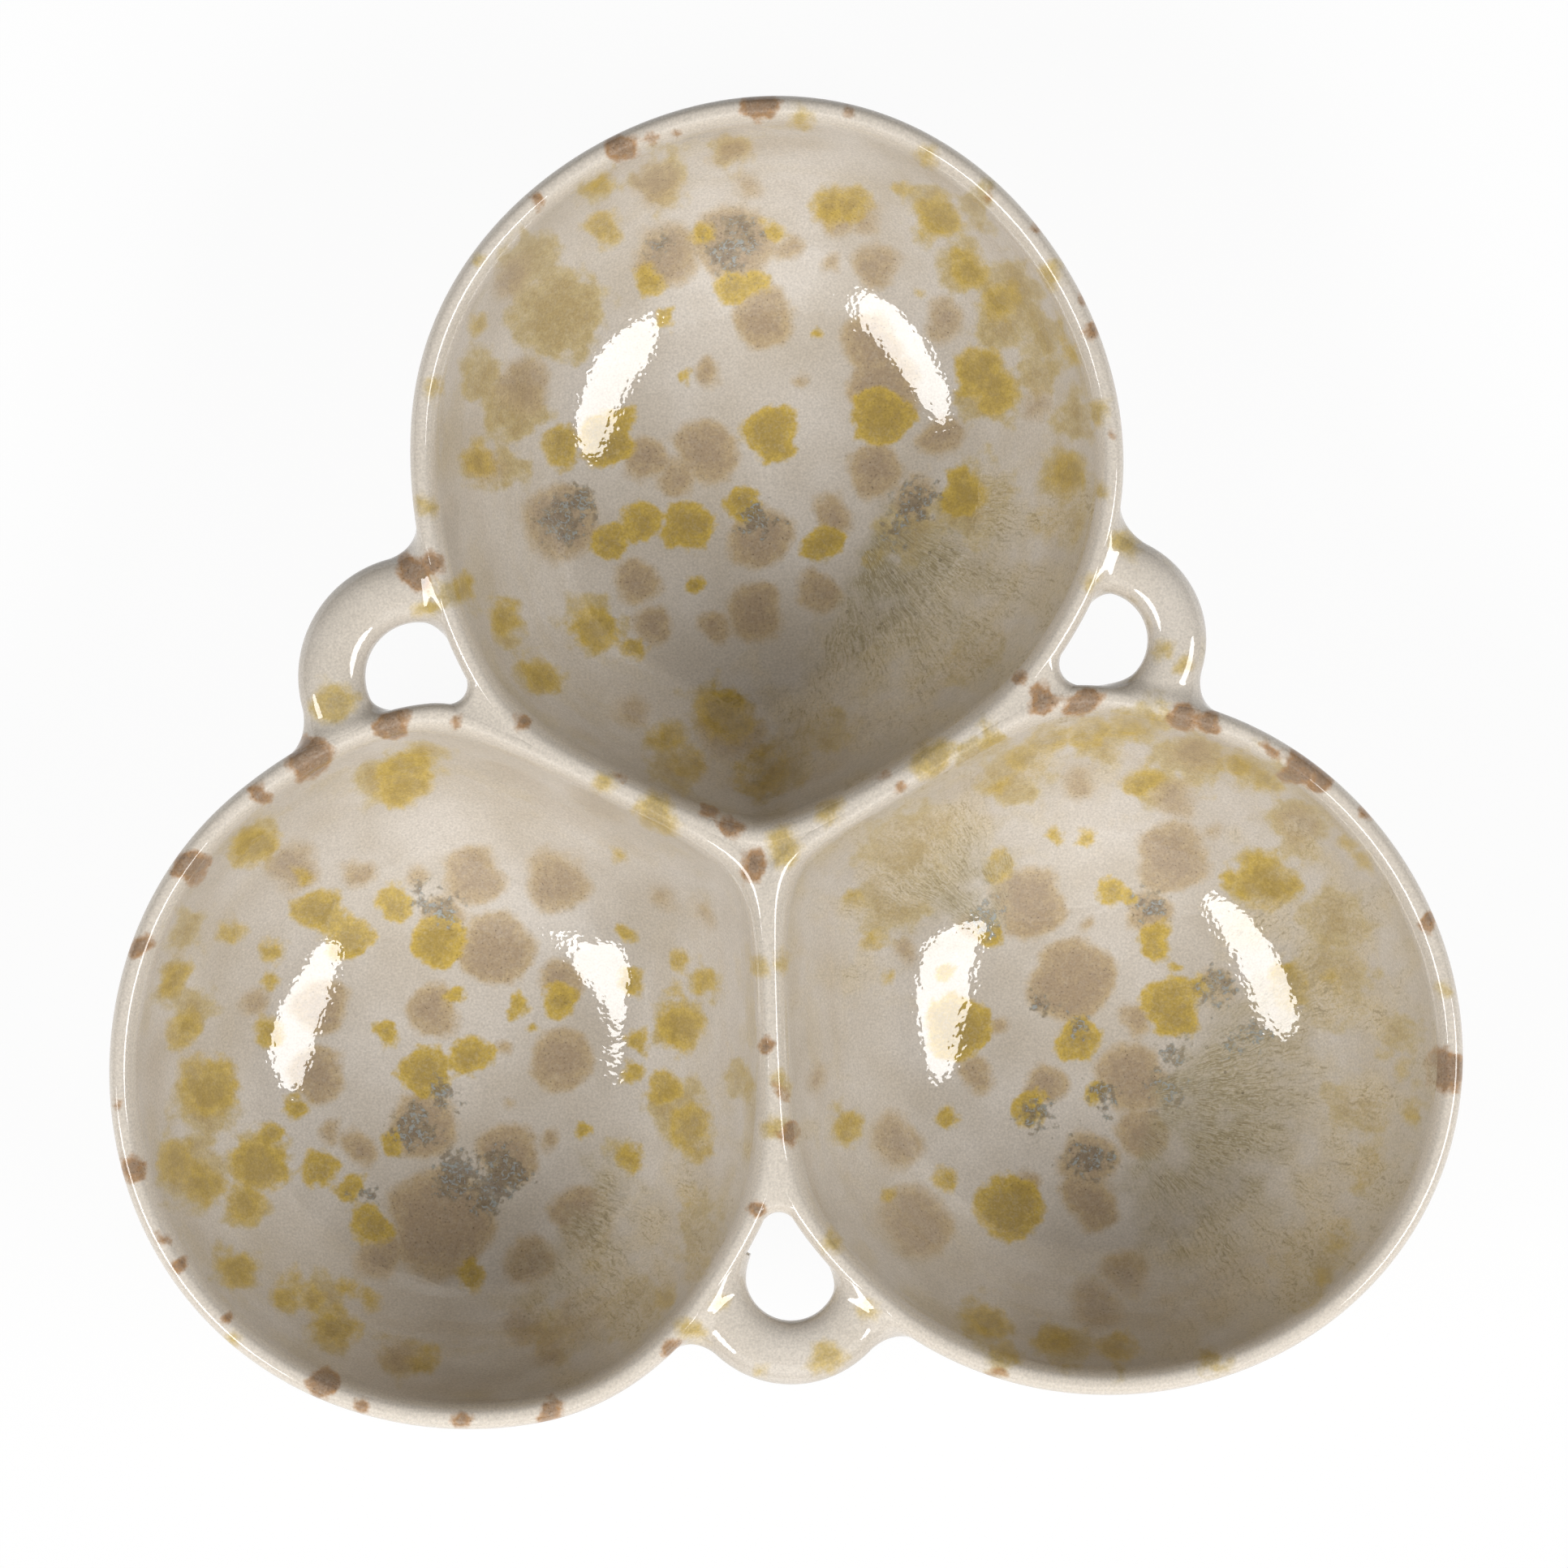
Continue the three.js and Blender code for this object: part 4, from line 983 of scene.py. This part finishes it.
# Bare stoneware: fired clay with fine sand in it, matt and slightly rough, speckled with iron.
SAND = 0.8  # sizes of the sand and of the iron specks, and depth of the sand's grain
IRON = 1.6
SAND_DEPTH = 0.2
clay, node = new_material("bare_stoneware")
place = node("TexCoord", output="Object")
sand = node("TexNoise", {"Vector": place, "Scale": 1 / (SAND * MM), "Detail": 3})
colour = node("Mix", {0: sand, 6: linear("#a98f72"), 7: linear("#c7b194")}, 2, data_type="RGBA")
speck = node("TexVoronoi", {"Vector": place, "Scale": 1 / (IRON * MM)}, "Distance")
dark = node("MapRange", {0: speck, 1: 0.12, 2: 0.2, 3: 0.7, 4: 0.0})
colour = node("Mix", {0: dark, 6: colour, 7: linear("#5b4433")}, 2, data_type="RGBA")
rough = node("Bump", {"Height": sand, "Strength": 0.6, "Distance": SAND_DEPTH * MM})
shader = node("BsdfPrincipled", {"Base Color": colour, "Normal": rough, "Roughness": 0.85})
node("OutputMaterial", {"Surface": shader})

for name, bowl in BOWLS.items():
    points, faces = ring_mesh(foot_grid(bowl["axis"]))
    piece = add_piece(f"{name}_bare_foot", points, faces, clay, {})
    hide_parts(f"{name}_foot_ring")

# The studio.
# A white floor that shows a faint shadow, two soft strip lights at the front left and front right, and a
# camera that looks straight down as the photograph does.
FLOOR_SIZE = 6.0
FLOOR_SHOWN = 0.93  # how much of the floor is plain white to the camera, the rest taking the shadow
floor_mesh = bpy.data.meshes.new("floor")
corners = np.array([[-1, -1, 0], [1, -1, 0], [1, 1, 0], [-1, 1, 0]]) * FLOOR_SIZE / 2
floor_mesh.from_pydata(corners.tolist(), [], [(0, 1, 2, 3)])
floor = bpy.data.objects.new("floor", floor_mesh)
bpy.context.scene.collection.objects.link(floor)
paper, node = new_material("white_paper")
seen = node("LightPath", output="Is Camera Ray")
for kind in ("Is Glossy Ray", "Is Transmission Ray"):
    ray = node("LightPath", output=kind)
    seen = node("Math", {0: seen, 1: ray}, operation="MAXIMUM")
lit = node("Math", {0: seen, 1: FLOOR_SHOWN}, operation="MULTIPLY")
matt = node("BsdfDiffuse", {"Color": linear("#f4f4f4")})
white = node("Emission", {"Color": linear("#ffffff"), "Strength": 1.0})
shader = node("MixShader", {0: lit, 1: matt, 2: white})
node("OutputMaterial", {"Surface": shader})
floor_mesh.materials.append(paper)

LIGHT_DISTANCE = 1.8
# Bearing and elevation of each lamp, its width and height in metres, and its power.
LIGHTS = {
    "left_light": (213, 42, (1.3, 0.68), 21),
    "right_light": (338, 43, (1.3, 0.68), 21),
    "front_fill": (275, 40, (2.4, 1.2), 5),
}
for name, (bearing, elevation, size, power) in LIGHTS.items():
    lamp = bpy.data.lights.new(name, "AREA")
    lamp.shape = "ELLIPSE"
    lamp.size, lamp.size_y = size
    lamp.energy = power
    light = bpy.data.objects.new(name, lamp)
    level = math.cos(math.radians(elevation)) * LIGHT_DISTANCE
    light.location = (
        level * math.cos(math.radians(bearing)),
        level * math.sin(math.radians(bearing)),
        math.sin(math.radians(elevation)) * LIGHT_DISTANCE,
    )
    light.rotation_euler = (math.radians(90 - elevation), 0, math.radians(bearing + 90))
    bpy.context.scene.collection.objects.link(light)

AMBIENT = 0.09
world = bpy.data.worlds.new("studio")
world.use_nodes = True
sky = world.node_tree.nodes["Background"].inputs
sky["Color"].default_value = linear("#ffffff")
sky["Strength"].default_value = AMBIENT
bpy.context.scene.world = world

SENSOR = 36
PHOTO_WIDTH = 1932
camera_data = bpy.data.cameras.new("camera")
camera_data.sensor_width = SENSOR
camera_data.lens = SENSOR * VIEW_DISTANCE / (PHOTO_WIDTH * PHOTO_SCALE)
camera = bpy.data.objects.new("camera", camera_data)
camera.location = (*(VIEW_MIDDLE * MM), (RIM_HEIGHT + VIEW_DISTANCE) * MM)
bpy.context.scene.collection.objects.link(camera)
bpy.context.scene.camera = camera
bpy.context.scene.view_settings.view_transform = "Standard"
